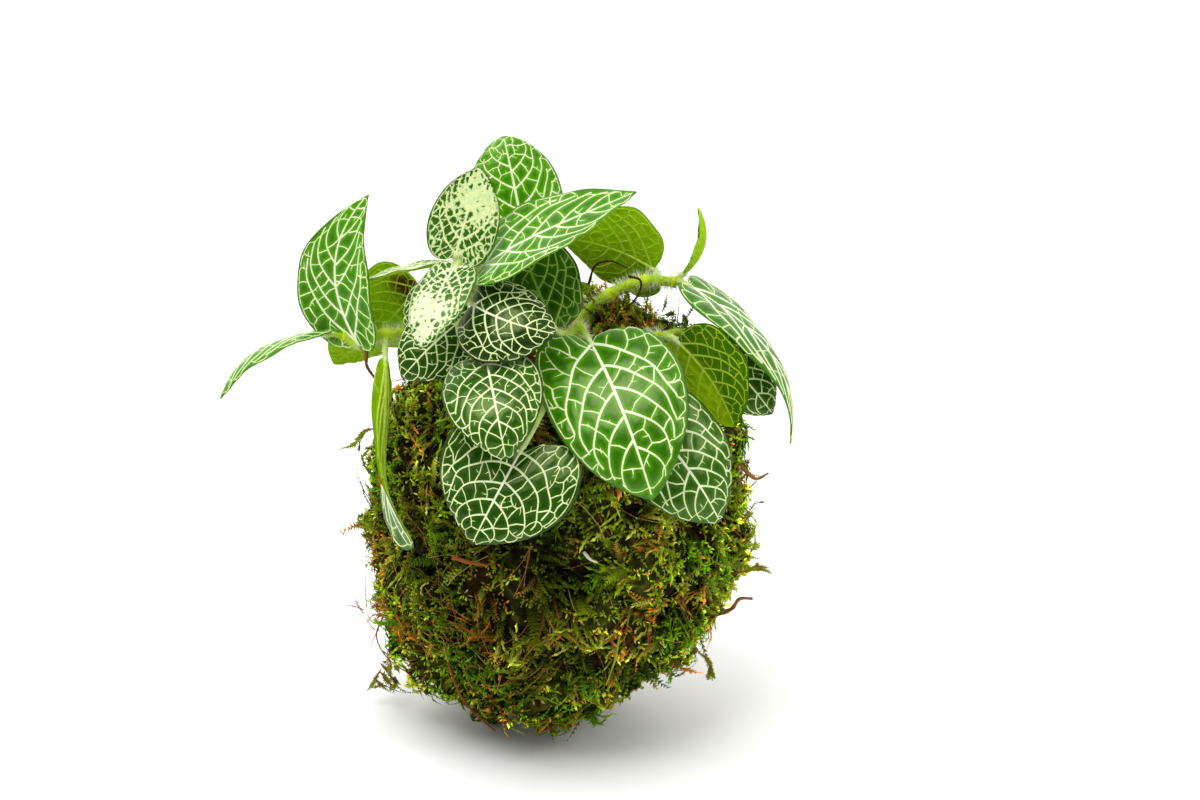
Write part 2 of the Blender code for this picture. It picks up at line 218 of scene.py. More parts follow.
def mesh_of(name, shapes):
    """One mesh of all the shapes, whose points are in millimetres."""
    starts = np.cumsum([0] + [len(s.points) for s in shapes])
    points = np.concatenate([s.points for s in shapes]) * MM
    points[:, 2] = points[:, 2].clip(LEAST_HEIGHT * MM, None)
    faces = np.concatenate([s.faces + start for s, start in zip(shapes, starts)])
    tint = np.concatenate([s.tint for s in shapes])
    mesh = bpy.data.meshes.new(name)
    mesh.vertices.add(len(points))
    mesh.vertices.foreach_set("co", points.astype(np.float32).ravel())
    mesh.loops.add(faces.size)
    mesh.loops.foreach_set("vertex_index", faces.astype(np.int32).ravel())
    mesh.polygons.add(len(faces))
    mesh.polygons.foreach_set("loop_start", np.arange(0, faces.size, 3, dtype=np.int32))
    finish = np.concatenate([s.finish for s in shapes]).astype(np.int32)
    mesh.polygons.foreach_set("material_index", finish)
    mesh.update(calc_edges=True)
    mesh.shade_smooth()
    layer = mesh.attributes.new("tint", "FLOAT_COLOR", "POINT")
    rgba = np.concatenate([tint, np.ones((len(tint), 1))], 1)
    layer.data.foreach_set("color", rgba.astype(np.float32).ravel())
    return mesh


def place(name, shapes, materials, slot, *nodes):
    """Adds a finished piece that stands for the CAD nodes and rides on the one body."""
    made = bpy.data.objects.new(name, mesh_of(name, shapes))
    for finish in materials:
        made.data.materials.append(finish)
    scene.collection.objects.link(made)
    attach(made, "root")
    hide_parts(*nodes)
    print(f"{name}: {len(made.data.polygons)} triangles for {', '.join(nodes) or 'detail'}")


# %% Smooth random numbers in space
LATTICE_SIZE = 32
LATTICE = np.random.default_rng(11).random((LATTICE_SIZE,) * 3)


def noise(points, size):
    """Value noise from 0 to 1: random numbers on a cubic lattice of that size, blended
    between its corners by the smoothstep 3t^2 - 2t^3."""
    place_in = points / size
    cell = np.floor(place_in).astype(int)
    t = place_in - cell
    t = t * t * (3 - 2 * t)
    total = 0.0
    for corner in np.ndindex(2, 2, 2):
        weight = np.prod(np.where(corner, t, 1 - t), axis=-1)
        i, j, k = np.moveaxis((cell + corner) % LATTICE_SIZE, -1, 0)
        total = total + weight * LATTICE[i, j, k]
    return total


def blended(low, high, share):
    """Between two colours, by a share from 0 to 1."""
    share = np.clip(share, 0, 1)[..., None]
    return np.asarray(low) * (1 - share) + np.asarray(high) * share


# %% [markdown]
# ## Skins
#
# A nerve plant's leaf is thin, slightly waxy and quilted. Its upper skin gives a broad soft
# gloss and its underside is paler and matt. Light comes through it, so each skin is a
# Principled surface mixed with a Translucent one. The colour comes from the attribute, and
# fine noise breaks it into the tiny cells of the skin. Moss, soil and thread are made the
# same way, with hardly any gloss and a coarser grain.


# %% Living skin materials
def grains(tree, where, size_mm, detail):
    """Noise whose grains have a real size."""
    inputs = {"Vector": where, "Scale": 1 / (size_mm * MM), "Detail": detail}
    return add(tree, "TexNoise", inputs).outputs[0]


def multiplied(tree, first, second):
    return add(tree, "VectorMath", {0: first, 1: second}, operation="MULTIPLY").outputs[0]


def skin(name, roughness, shine, specks, relief, thin=0.0, glow=(1, 1, 1), wax=(1, 1, 1, 1)):
    """A plant or soil surface in the attribute's colour. specks gives the size in mm and the
    detail of its grains, and the colour's lowest and highest level. relief gives the size
    and detail of its bumps, their strength, and their depth in mm. thin is the share of the
    surface that lets light through, glow tints that light and wax tints the gloss."""
    made, tree = blank_material(name)
    tint = add(tree, "Attribute", attribute_name="tint").outputs["Color"]
    where = add(tree, "TexCoord").outputs["Object"]
    spots = grains(tree, where, *specks[:2])
    level = add(tree, "MapRange", {"Value": spots, "To Min": specks[2], "To Max": specks[3]})
    varied = multiplied(tree, tint, level.outputs["Result"])
    pores = grains(tree, where, *relief[:2])
    depth = relief[3] * MM
    bump = add(tree, "Bump", {"Height": pores, "Strength": relief[2], "Distance": depth})
    settings = {"Base Color": varied, "Roughness": roughness, "Normal": bump.outputs[0]}
    settings |= {"Specular IOR Level": shine, "Specular Tint": wax}
    surface = add(tree, "BsdfPrincipled", settings).outputs[0]
    through = add(tree, "BsdfTranslucent", {"Color": multiplied(tree, varied, glow)})
    both = add(tree, "MixShader", {"Fac": thin, 1: surface, 2: through.outputs[0]})
    add(tree, "OutputMaterial", {"Surface": both.outputs[0]})
    return made


def fuzzy(name, roughness, size_mm, low, high, thin=0.0):
    """A matt surface whose grains are also its bumps."""
    grain, detail = size_mm, 4.0
    specks, relief = (grain, detail, low, high), (grain, detail, 0.6, 0.3)
    return skin(name, roughness, 0.08, specks, relief, thin)


GLOW = (1.5, 1.25, 0.3)  # light that comes through a leaf is yellower
WAX = (0.8, 1.0, 0.42, 1.0)  # and so is the gloss of its wax
CELLS, PORES = (0.9, 3.0, 0.72, 1.28), (0.25, 2.0, 0.2, 0.1)
STEM_CELLS, STEM_PORES = (1.5, 3.0, 0.72, 1.28), (0.3, 2.0, 0.2, 0.1)
LIVING = (GLOW, WAX)
upper_skin = skin("nerve plant leaf, waxy upper skin", 0.26, 0.55, CELLS, PORES, 0.12, *LIVING)
under_skin = skin("nerve plant leaf, matt underside", 0.55, 0.08, CELLS, PORES, 0.35, *LIVING)
stem_skin = skin(
    "nerve plant stem, soft green skin", 0.5, 0.08, STEM_CELLS, STEM_PORES, 0.15, *LIVING
)
moss_mat = fuzzy("sheet moss, matted and dark between the shoots", 0.95, 1.2, 0.4, 1.6)
moss_leaf = fuzzy("feather moss shoots, thin soft leaflets", 0.7, 1.5, 0.6, 1.4, 0.35)
damp_soil = fuzzy("damp potting soil, crumbly", 0.95, 1.0, 0.4, 1.6)
dry_stalk = fuzzy("dry moss stalks and bark, brown and brittle", 0.75, 0.8, 0.5, 1.4)
cotton = fuzzy("dark waxed cotton thread, twisted", 0.6, 0.4, 0.5, 1.5)
print("skins:", [m.name for m in bpy.data.materials if m.use_nodes])

# %% [markdown]
# ## The shape of a leaf
#
# Every blade is one function of two parameters: u runs along the midrib from 0 to 1, and v
# runs across from -1 to 1. The midrib bows, the sides cup, the whole blade twists, and the
# half width follows an egg-shaped outline. The table gives each leaf its place in
# millimetres, near its solid in the imported model:
#
# - stem and joint: the stem it grows from, and which of that stem's points
# - base, tip, face, width: where the midrib starts and ends, and where the upper side looks
# - arch, hook, sway: how far the midrib bows up, bows late, and bows sideways
# - cup and twist: how the sides rise, as a share of the half width, and the turn in degrees
# - lobe, point, uneven: how far the sides reach back past the base, how sharp the tip is,
#   and how much one side reaches further back than the other
# - tone: how bright its upper green is, which is painted light and shade: above 1 on leaves
#   that face the light and shine, below 1 on leaves in shade; cell: a vein cell's width as a
#   share of the length

# %% Leaf table
Leaf = namedtuple(
    "Leaf",
    "stem joint base tip face width arch hook sway cup twist lobe point uneven tone cell",
    defaults=(3.0, 0.0, 0.0, -0.1, 0.0, 0.26, 0.78, 0.0, 1.0, 0.08),
)
LEAVES = {
    "front_large": Leaf(
        "front", 3, (8.5, -35, 104), (22, -57, 75), (-0.1, -0.85, 0.5), 31,
        arch=5, hook=1, sway=-1, cup=-0.16, uneven=0.5, tone=1.35,
    ),
    "front_right": Leaf(
        "right_low", 2, (19.5, -38, 89), (37, -43, 65), (0.35, -0.9, 0.25), 25,
        hook=1, tone=0.8,
    ),
    "front_small": Leaf(
        "front", 2, (-14, -43, 101.5), (-9.5, -60, 85), (-0.05, -0.7, 0.7), 22,
        arch=4, hook=1, cup=-0.2, tone=0.6,
    ),
    "front_low": Leaf(
        "front", 2, (-6.5, -51, 84), (-17, -59, 65.5), (-0.1, -0.95, 0.3), 31,
        arch=2, cup=-0.05, lobe=0.6, point=0.9, tone=0.45,
    ),
    "middle": Leaf(
        "top", 2, (-17, -37, 113), (1, -44.5, 108.5), (-0.1, -0.8, 0.65), 20,
        sway=2, cup=-0.25, tone=0.22,
    ),
    "centre_back": Leaf(
        "front", 3, (1, -33, 106.5), (-8, -22, 128), (-0.2, -0.9, -0.1), 22,
        arch=2, cup=0.1, lobe=0.1, tone=0.6,
    ),
    "top": Leaf(
        "top", 2, (-6, -17, 121), (-11, -11, 145), (0.1, -0.95, 0.3), 21,
        arch=2, point=0.62, tone=1.7,
    ),
    "top_right": Leaf(
        "top", 3, (-15, -31, 120), (18.5, -40, 139), (-0.2, -0.5, 0.85), 20,
        hook=-1, sway=1, cup=0.12, lobe=0.2, point=0.95, tone=1.8, cell=0.064,
    ),
    "young_up": Leaf(
        "top", 4, (-21, -33, 123), (-15.5, -29, 142), (-0.05, -0.95, 0.2), 15.5,
        arch=1, hook=-1, cup=0.15, cell=0.05,
    ),
    "young_down": Leaf(
        "top", 4, (-21, -36, 121), (-28, -51, 107), (-0.3, -0.7, 0.65), 13.5,
        arch=2, cup=-0.15, cell=0.05,
    ),
    "left_up": Leaf(
        "left", 4, (-44.2, -14, 97.5), (-41.6, -8, 131), (-0.45, -0.85, 0.2), 20,
        arch=1, hook=1, sway=-6.5, cup=0.1, lobe=0.15, point=0.95, tone=1.7, cell=0.064,
    ),
    "left_out": Leaf(
        "left", 4, (-52.5, -11, 99), (-75, -22, 87), (-0.4, 0.1, 0.9), 13,
        arch=4, hook=1, cup=-0.3, tone=1.8,
    ),
    "left_back": Leaf(
        "left", 2, (-31, 0, 107), (-43, 5, 92), (0.1, 0.95, 0.2), 23,
        arch=2, cup=0.1,
    ),
    "left_edge": Leaf(
        "top", 2, (-25, -9, 115), (-43, -11, 111.5), (-0.1, 0.15, 1.0), 12,
        arch=0.5, cup=0.1,
    ),
    "left_under": Leaf(
        "left", 3, (-42, -7, 96), (-51, -1, 89), (-0.3, 0.9, 0.5), 14,
        arch=1, cup=0.1,
    ),
    "left_inner": Leaf(
        "top", 2, (-22, -26, 112.5), (-32, -28, 103), (-0.4, -0.9, 0.3), 15,
        arch=2, tone=0.5,
    ),
    "left_dark": Leaf(
        "top", 2, (-21, -31, 107), (-33, -36, 96), (-0.2, -0.9, 0.35), 16,
        arch=2, tone=0.4,
    ),
    "left_hang": Leaf(
        "left", 3, (-38, -18, 95), (-31, -44, 59), (-0.9, 0.3, 0.2), 9.5,
        arch=1, hook=3, cup=0.2, twist=75, lobe=0.1, point=0.3,
    ),
    "right_back": Leaf(
        "right", 3, (23, 2, 111), (2, 10, 116.5), (0.1, 0.85, 0.45), 26,
        arch=2, cup=0.1,
    ),
    "right_curl": Leaf(
        "right", 4, (30, -5, 112), (33, 0, 126), (-0.9, 0.1, 0.3), 8,
        arch=-3, cup=0.45, lobe=0.1,
    ),
    "right_out": Leaf(
        "right", 4, (31, -10, 110), (54, -18, 75), (0.7, -0.25, 0.7), 18,
        arch=5.5, hook=2.5, cup=-0.2, lobe=0.15, point=1.5, tone=1.4,
    ),
    "right_under": Leaf(
        "right_low", 2, (28, -24, 101), (41, -27, 82), (0.45, 0.85, 0.4), 24,
        arch=2, cup=0.05,
    ),
    "right_low": Leaf(
        "right_low", 2, (36, -12, 97), (50, -14, 81), (0.3, -0.9, 0.2), 17,
        arch=2, tone=0.6,
    ),
    "back_left": Leaf(
        "back", 2, (-10, 27, 104), (-32, 46, 86), (-0.3, 0.6, 0.75), 27,
        arch=5, hook=1, cup=-0.15,
    ),
    "back_right": Leaf(
        "back", 2, (9, 29, 96), (25, 52, 73), (0.3, 0.6, 0.75), 24,
        hook=1, cup=-0.15,
    ),
    "back_middle": Leaf(
        "back", 2, (-4, 31, 99), (-5, 56, 72), (0.0, 0.8, 0.55), 28,
        arch=5, hook=1,
    ),
}
print(len(LEAVES), "leaves")


# %% The blade as a function of u and v
def outline(leaf, u):
    """Half width, 1 at its widest: u^0.5 times (1 - u)^point, scaled."""
    rise = 0.5
    widest = rise / (rise + leaf.point)
    u = np.clip(u, 0, 1)
    return u**rise * (1 - u) ** leaf.point / (widest**rise * (1 - widest) ** leaf.point)


def half_width(leaf, u):
    return leaf.width / 2 * outline(leaf, u)


def leaf_axes(leaf):
    """The base, the chord to the tip, the way across and the way the upper side looks."""
    base, tip, face = (np.array(x, float) for x in (leaf.base, leaf.tip, leaf.face))
    chord = tip - base
    face = unit(face - chord * (face @ chord) / (chord @ chord))
    return base, chord, unit(np.cross(chord, face)), face


def leaf_length(leaf):
    return np.linalg.norm(leaf_axes(leaf)[1])


WAVE = 0.045  # of the half width


def blade_at(leaf, u, v):
    """Points of the blade's middle surface. The chord carries u, the half width carries v,
    a parabola bows the midrib, v squared cups the sides, and a sine waves the margin."""
    base, chord, across, face = leaf_axes(leaf)
    u, v = np.broadcast_arrays(np.asarray(u, float), np.asarray(v, float))
    bow = 4 * u * (1 - u)
    late_bow = 6.75 * u * u * (1 - u)
    turn = math.radians(leaf.twist) * (u - 0.5)
    half = half_width(leaf, u)
    ripple = np.sin(17 * u + 2.5 * np.sign(v) + leaf.base[0]) * np.abs(v) ** 3
    lift = leaf.cup * half * v * v + WAVE * half * ripple
    shape = np.abs(v) * outline(leaf, u)
    back = leaf.lobe * np.linalg.norm(chord) * (1 - u) ** 3 * shape**0.9
    back = back * (1 + leaf.uneven * v)
    right = across * np.cos(turn)[..., None] + face * np.sin(turn)[..., None]
    above = face * np.cos(turn)[..., None] - across * np.sin(turn)[..., None]
    return (
        base
        + chord * u[..., None]
        + face * (leaf.arch * bow + leaf.hook * late_bow)[..., None]
        + across * (leaf.sway * bow)[..., None]
        + right * (half * v)[..., None]
        - unit(chord) * back[..., None]
        + above * lift[..., None]
    )


def blade_normal(leaf, u, v):
    """The upper side's direction: the step across v crossed with the step along u."""
    step = 0.01
    u = np.clip(u, 0.04, 0.96)
    v = np.clip(v, -0.96, 0.96)
    along = blade_at(leaf, u + step, v) - blade_at(leaf, u - step, v)
    side = blade_at(leaf, u, v + step) - blade_at(leaf, u, v - step)
    return unit(np.cross(side, along))


# %% [markdown]
# ## The net of veins
#
# A nerve plant is named for its veins. A midrib carries arching side veins, and the fields
# between them are divided into irregular cells, with short veins that end inside them. A
# Voronoi diagram of scattered seeds has just such cells. It is worked out on the flat leaf,
# and its edges are cut where they meet the main veins. The veins are then real ridges laid
# on the blade, and the skin between them is puffed up like a quilt.

# %% Main veins
SIDE_VEINS = 5
SIDE_VEIN_STEP = 0.17  # of the leaf's length
VEIN_REACH = 0.9  # of the half width
SIDES = ((0, -1), (1, 1))  # the number and the sign of v of each side of the midrib
MIDRIB_STEPS = 44


def side_vein(start, w):
    """Where a side vein is at w, its share of the way from its start to the tip. It leaves
    the midrib steeply, then runs beside the margin: v is 0.9 (1 - (1 - w)^bend)."""
    bend = 1 + 2.0 * (1 - start)
    return start + (1 - start) * w, VEIN_REACH * (1 - (1 - w) ** bend)


def side_vein_level(start, v):
    """The u at which a side vein reaches v, from the same curve solved for w."""
    bend = 1 + 2.0 * (1 - start)
    left = (1 - np.abs(v) / VEIN_REACH).clip(0, 1)
    return start + (1 - start) * (1 - left ** (1 / bend))


def side_vein_starts(rng):
    """Where the side veins leave the midrib on each side: evenly spaced, then shifted."""
    even = np.arange(SIDE_VEINS) * SIDE_VEIN_STEP
    return [0.012 + even + rng.uniform(-0.02, 0.03, SIDE_VEINS) * (even > 0) for _ in SIDES]


def bundle(veins):
    """Separate veins, each of (u, v, width), stacked into three arrays."""
    return tuple(np.stack([vein[i] for vein in veins]) for i in range(3))


def main_veins(leaf, rng, scale):
    """The side veins' starts, the main veins as two batches, and flat points along them.
    On a large leaf the midrib is 1.15 mm wide at the base and 0.4 mm at its tip."""
    length = leaf_length(leaf)
    starts = side_vein_starts(rng)
    width = (1.15 - 0.75 * np.linspace(0, 1, MIDRIB_STEPS)) * scale
    midrib = (np.linspace(0, 0.975, MIDRIB_STEPS), np.zeros(MIDRIB_STEPS), width)
    lines = [np.stack([np.zeros(60), np.linspace(0, 0.97, 60) * length], 1)]
    veins = []
    for side, sign in SIDES:
        for start in starts[side]:
            w = np.linspace(0, 0.54 + 0.2 * start, 30)
            u, v = side_vein(start, w)
            v = v * sign * (1 + 0.03 * np.sin(26 * u + rng.uniform(0, 6)))
            lines.append(np.stack([v * half_width(leaf, u), u * length], 1))
            veins.append((u, v, (0.8 - 0.68 * w) * (1.05 - 0.35 * start) * scale))
    return starts, [bundle([midrib]), bundle(veins)], np.concatenate(lines)


# %% Cells between the main veins
def scattered(rng, leaf, length, cell, lines):
    """Seeds at least a cell's width apart inside the outline, and clear of the main veins."""
    kept = []
    tries = rng.uniform((-0.5, 0), (0.5, 1), (1100, 2)) * (leaf.width, length)
    half = half_width(leaf, tries[:, 1] / length)
    tries = tries[np.abs(tries[:, 0]) < half - 0.22 * cell]
    gap = np.linalg.norm(tries[:, None] - lines[None], axis=-1).min(1)
    for point in tries[gap > 0.26 * cell]:
        if not kept or np.linalg.norm(np.array(kept) - point, axis=1).min() > 0.8 * cell:
            kept.append(point)
    return np.array(kept)


def triangulated(leaf, length, cell, seeds):
    """The seeds and a rim of points just outside the outline, joined into triangles."""
    u = np.linspace(0.0, 1.0, int(2.4 * length / cell))
    rim = np.stack([half_width(leaf, u) + 0.3 * cell, u * length + (u - 0.5) * 0.3 * cell], 1)
    points = np.concatenate([seeds, rim, rim[1:-1] * (-1, 1)])
    found = delaunay_2d_cdt([Vector(point) for point in points], [], [], 0, 1e-5)
    return np.array(found[0]), np.array(found[2])


def circumcentres(corners):
    """The centre of the circle through each triangle's corners, by Cramer's rule."""
    a, b, c = corners[:, 0], corners[:, 1] - corners[:, 0], corners[:, 2] - corners[:, 0]
    double = 2 * (b[:, 0] * c[:, 1] - b[:, 1] * c[:, 0])
    bb, cc = (b * b).sum(1), (c * c).sum(1)
    x = (c[:, 1] * bb - b[:, 1] * cc) / double
    y = (b[:, 0] * cc - c[:, 0] * bb) / double
    return a + np.stack([x, y], 1)


def fields_of(leaf, length, seeds, starts, inner):
    """The number of the field between main veins that each seed is in, -1 on the rim."""
    u = seeds[:, 1] / length
    v = seeds[:, 0] / half_width(leaf, u.clip(0.01, 0.99))
    field = np.where(v < 0, 100, 200)
    for side, sign in SIDES:
        above = (u[:, None] > side_vein_level(starts[side][None], v[:, None])).sum(1)
        field = field + above * (np.sign(v) == sign)
    field[np.arange(len(seeds)) >= inner] = -1
    return field


def shared_edges(triangles):
    """For each edge between two triangles: the two triangles and the two seeds on it."""
    corners = [triangles[:, pair] for pair in ([0, 1], [1, 2], [2, 0])]
    pairs = np.sort(np.concatenate(corners), 1)
    owner = np.tile(np.arange(len(triangles)), 3)
    order = np.lexsort((pairs[:, 1], pairs[:, 0]))
    pairs, owner = pairs[order], owner[order]
    same = (pairs[1:] == pairs[:-1]).all(1)
    return owner[:-1][same], owner[1:][same], pairs[1:][same]


def wandering(ends, rng):
    """Three-point paths between pairs of points, which bulge a little to one side."""
    t = np.linspace(0, 1, 3)[None, :, None]
    step = ends[:, 1] - ends[:, 0]
    side = np.stack([-step[:, 1], step[:, 0]], 1)[:, None]
    bulge = rng.uniform(-0.13, 0.13, (len(ends), 1, 1))
    return ends[:, :1] + step[:, None] * t + side * bulge * np.sin(np.pi * t)


def on_leaf(leaf, length, paths, widths):
    """Flat points in millimetres as u and v, kept inside the margin."""
    u = (paths[..., 1] / length).clip(0.008, 0.985)
    v = (paths[..., 0] / half_width(leaf, u)).clip(-0.945, 0.945)
    return u, v, widths


def vein_net(leaf, rng):
    """The veins of one leaf as batches of (u, v, width): main veins, net and free ends.
    Each cell's corner is the circumcentre of a triangle of seeds, and one that lies near a
    main vein moves onto it. Two corners are joined where their triangles share an edge."""
    length = leaf_length(leaf)
    cell = leaf.cell * length + 0.3
    scale = (length / 37) ** 0.55 * (leaf.cell / 0.08) ** 0.6
    starts, batches, lines = main_veins(leaf, rng, scale)
    inner = scattered(rng, leaf, length, cell, lines)
    seeds, triangles = triangulated(leaf, length, cell, inner)
    field = fields_of(leaf, length, seeds, starts, len(inner))
    centres = circumcentres(seeds[triangles])
    round_it = field[triangles]
    round_it = np.where(round_it < 0, round_it.max(1, keepdims=True), round_it)
    on_main = round_it.max(1) != round_it.min(1)
    gaps = np.linalg.norm(centres[:, None] - lines[None], axis=-1)
    near = on_main & (gaps.min(1) < 0.75 * cell)
    centres = np.where(near[:, None], lines[gaps.argmin(1)], centres)
    one, two, seed = shared_edges(triangles)
    both = field[seed]
    ends = np.stack([centres[one], centres[two]], 1)
    free = np.linalg.norm(ends.mean(1)[:, None] - lines[None], axis=-1).min(1) > 0.35 * cell
    long_enough = np.linalg.norm(ends[:, 0] - ends[:, 1], axis=1) > 0.04 * cell
    net = ((both[:, 0] == both[:, 1]) | free) & (both.min(1) >= 0)
    edge = (both.min(1) < 0) & (both.max(1) >= 0)
    for chosen, width in ((net & long_enough, 0.4), (edge & long_enough, 0.27)):
        paths = wandering(ends[chosen], rng)
        widths = width * scale * rng.uniform(0.75, 1.2, (len(paths), 1)) * np.ones(3)
        batches.append(on_leaf(leaf, length, paths, widths))
    # Free veins start in the middle of a cell's side and end inside the cell.
    branching = net & long_enough & (rng.random(len(net)) < 0.35)
    middle = ends[branching].mean(1)
    target = seeds[seed[branching, rng.integers(0, 2, branching.sum())]]
    stop = middle + (target - middle) * rng.uniform(0.5, 0.9, (len(middle), 1))
    paths = wandering(np.stack([middle, stop], 1), rng)
    widths = np.linspace(0.36, 0.12, 3) * scale * np.ones((len(paths), 1))
    batches.append(on_leaf(leaf, length, paths, widths))
    return [batch for batch in batches if len(batch[0])]


# %% Ridges and quilted skin
SKIN = 0.2  # half the blade's thickness, mm


def vein_ridges(leaf, batch, upper, under):
    """Ridges with a six-sided section: low and cream above, higher and green below."""
    u, v, width = batch
    middle = blade_at(leaf, u, v)
    up = blade_normal(leaf, u, v)
    along = unit(np.gradient(middle, axis=1))
    side = unit(np.cross(along, up)) * width[..., None] / 2
    wall = up * SKIN * 0.92
    top = up * (SKIN + 0.06 + 0.1 * width)[..., None]
    bottom = -up * (SKIN + 0.05 + 0.3 * width)[..., None]
    corners = (side + wall, top, wall - side, -side - wall, bottom, side - wall)
    rings = middle[:, :, None] + np.stack(corners, 2)
    first = middle[:, 0] - along[:, 0] * width[:, :1] * 0.3
    last = middle[:, -1] + along[:, -1] * width[:, -1:] * 0.3
    strength = np.clip((width - 0.25) / 0.6, 0, 1)
    above = blended(*upper, strength)[:, :, None].repeat(3, 2)
    below = blended(*under, strength)[:, :, None].repeat(3, 2)
    tint = np.concatenate([above, below], 2)
    return tubes(rings, first, last, tint, (0, 0, 1, 1, 1, 1))


def distance_to(points, starts, ends, widths):
    """From each flat point to the edge of the nearest vein, never below 0."""
    step = ends - starts
    size = (step * step).sum(1).clip(1e-9)
    found = np.full(len(points), 1e9)
    for part in np.array_split(np.arange(len(starts)), max(1, len(starts) // 150)):
        offset = points[:, None] - starts[None, part]
        t = np.clip((offset * step[part]).sum(-1) / size[part], 0, 1)
        gap = np.linalg.norm(offset - t[..., None] * step[part], axis=-1)
        found = np.minimum(found, (gap - widths[part] / 2).min(1))
    return found.clip(0)


def flat_segments(leaf, batches):
    """Every vein's short straight pieces on the flat leaf, with their widths."""
    starts, ends, widths = [], [], []
    for u, v, width in batches:
        flat = np.stack([v * half_width(leaf, u), u * leaf_length(leaf)], -1)
        starts.append(flat[:, :-1].reshape(-1, 2))
        ends.append(flat[:, 1:].reshape(-1, 2))
        widths.append((width[:, :-1] + width[:, 1:]).reshape(-1) / 2)
    return (np.concatenate(x) for x in (starts, ends, widths))


PUFF = 0.17  # how high the skin stands between the veins, mm


def blade_skin(leaf, batches, paint, rows, columns):
    """The blade: a flat closed tube round both skins, puffed where no vein holds it."""
    t = np.linspace(0, 1, rows)
    u = (0.5 * t + 0.25 * (1 - np.cos(np.pi * t))) * 0.994 + 0.003
    s = np.linspace(-1, 1, columns + 1)
    v = s * (1.2 - 0.2 * s * s)
    grid_u, grid_v = np.meshgrid(u, v, indexing="ij")
    half = half_width(leaf, grid_u)
    flat = np.stack([grid_v * half, grid_u * leaf_length(leaf)], -1)
    gap = distance_to(flat.reshape(-1, 2), *flat_segments(leaf, batches))
    gap = gap.reshape(grid_u.shape)
    margin = (1 - np.abs(grid_v)) * half
    puff = (1 - np.exp(-((gap / 0.75) ** 2))) * np.clip(margin / 1.2, 0, 1)
    thick = SKIN * np.clip(1 - np.abs(grid_v) ** 10, 0.0, 1)
    middle = blade_at(leaf, grid_u, grid_v)
    up = blade_normal(leaf, grid_u, grid_v)
    top = middle + up * (thick + PUFF * puff)[..., None]
    low = middle - up * (thick - 0.8 * PUFF * puff)[..., None]
    above, below = paint(leaf, flat, gap, margin, grid_u, grid_v)
    rings = np.concatenate([top, low[:, -2:0:-1]], 1)[None]
    tint = np.concatenate([above, below[:, -2:0:-1]], 1)[None]
    finish = (np.arange(rings.shape[2]) >= columns).astype(int)
    ends = blade_at(leaf, np.array([0.0, 1.0]), np.zeros(2))
    return tubes(rings, ends[:1], ends[1:], tint, finish)


# %% [markdown]
# ## Painting the leaves
#
# The upper skin is deep green in the middle of each cell and a little lighter beside a
# vein, and each grown leaf's green is made brighter or darker by its tone, which is painted
# light and shade. The underside is yellow-green, with soft darker cells. The two youngest
# leaves are still cream, with green only in specks, at the margin and towards the base.

# %% Leaf colours
GREEN = linear("#235300")
GREEN_BY_VEIN = linear("#3f7900")
MARGIN_GREEN = linear("#2a5600")
CREAM_VEIN = (linear("#dfeeae"), linear("#f2f7dc"))
DIM_VEIN = (linear("#8fb04c"), linear("#6f9a22"))  # on the leaf that hangs in shade
UNDER_GREEN = linear("#8ec500")
UNDER_BY_VEIN = linear("#aad710")
UNDER_VEIN = (linear("#b2d829"), linear("#d2ec5e"))
YOUNG_CREAM = linear("#dde9a3")
YOUNG_VEIN = (linear("#dfeaa8"), linear("#e9f1bc"))
BROWN_PATCH = linear("#5a3206")


def spots_of(leaf, flat):
    """Flat points with a third number of the leaf's own, so that no two leaves match."""
    return np.concatenate([flat, np.full(flat.shape[:-1] + (1,), leaf.base[0])], -1)


def paint_grown(leaf, flat, gap, margin, u, v):
    """Colours of both skins of a grown leaf, from the distance to the nearest vein. The upper
    skin's green is scaled by the leaf's tone, which is painted light and shade. One leaf has
    painted shade on its right half and one has a dry patch."""
    patch = noise(spots_of(leaf, flat), 7.0) - 0.5
    above = blended(GREEN_BY_VEIN, GREEN, 1 - np.exp(-((gap / 0.5) ** 2)))
    above = blended(above, MARGIN_GREEN, np.exp(-margin / 0.5))
    below = blended(UNDER_BY_VEIN, UNDER_GREEN, 1 - np.exp(-((gap / 0.7) ** 2)))
    shade = (1 + 0.35 * patch)[..., None]
    if leaf == LEAVES["right_under"]:
        below = below * blended([1.1, 1.0, 1.0], [0.25, 0.36, 0.3], 0.5 + 4 * v)
    if leaf == LEAVES["left_back"]:
        dry = np.exp(-(((u - 0.12) / 0.2) ** 2) - ((v + 0.15) / 0.5) ** 2)
        below = blended(below, BROWN_PATCH, 1.8 * dry * (patch + 0.9))
    # leaf.tone is painted light and shade on the upper skin.
    return above * shade * leaf.tone, below * shade


def paint_young(leaf, flat, gap, margin, u, v):
    """Cream towards one side, with green specks, a green margin and green near the base."""
    spot = spots_of(leaf, flat)
    pale = 1.0 - 1.1 * ((u - 0.68) / 0.4) ** 2 - 0.9 * ((v - 0.15) / 0.8) ** 2
    pale = np.clip(pale + 1.2 * (noise(spot, 2.6) - 0.5), 0, 1)
    room = gap - 0.46 * pale + 0.8 * (noise(spot, 0.4) - 0.5)
    green = np.clip((room - 0.02) / 0.06, 0, 1)
    green = np.maximum(green, np.exp(-((margin / 0.5) ** 2)))
    white = (1.0, 1.0, 1.6) if leaf == LEAVES["young_down"] else (0.85, 0.92, 1.0)
    above = blended(YOUNG_CREAM * white, GREEN * 1.3, green)
    return above, blended(UNDER_BY_VEIN, YOUNG_CREAM, 0.4 * pale)


# %% [markdown]
# ## Stems and leaf stalks
#
# The stems are soft, round and pale green, a little swollen where a pair of leaves leaves
# them, and furred with short white hairs. A smooth curve runs through the same points as
# the solid stem. A leaf's stalk bends out of the stem and runs into its midrib.

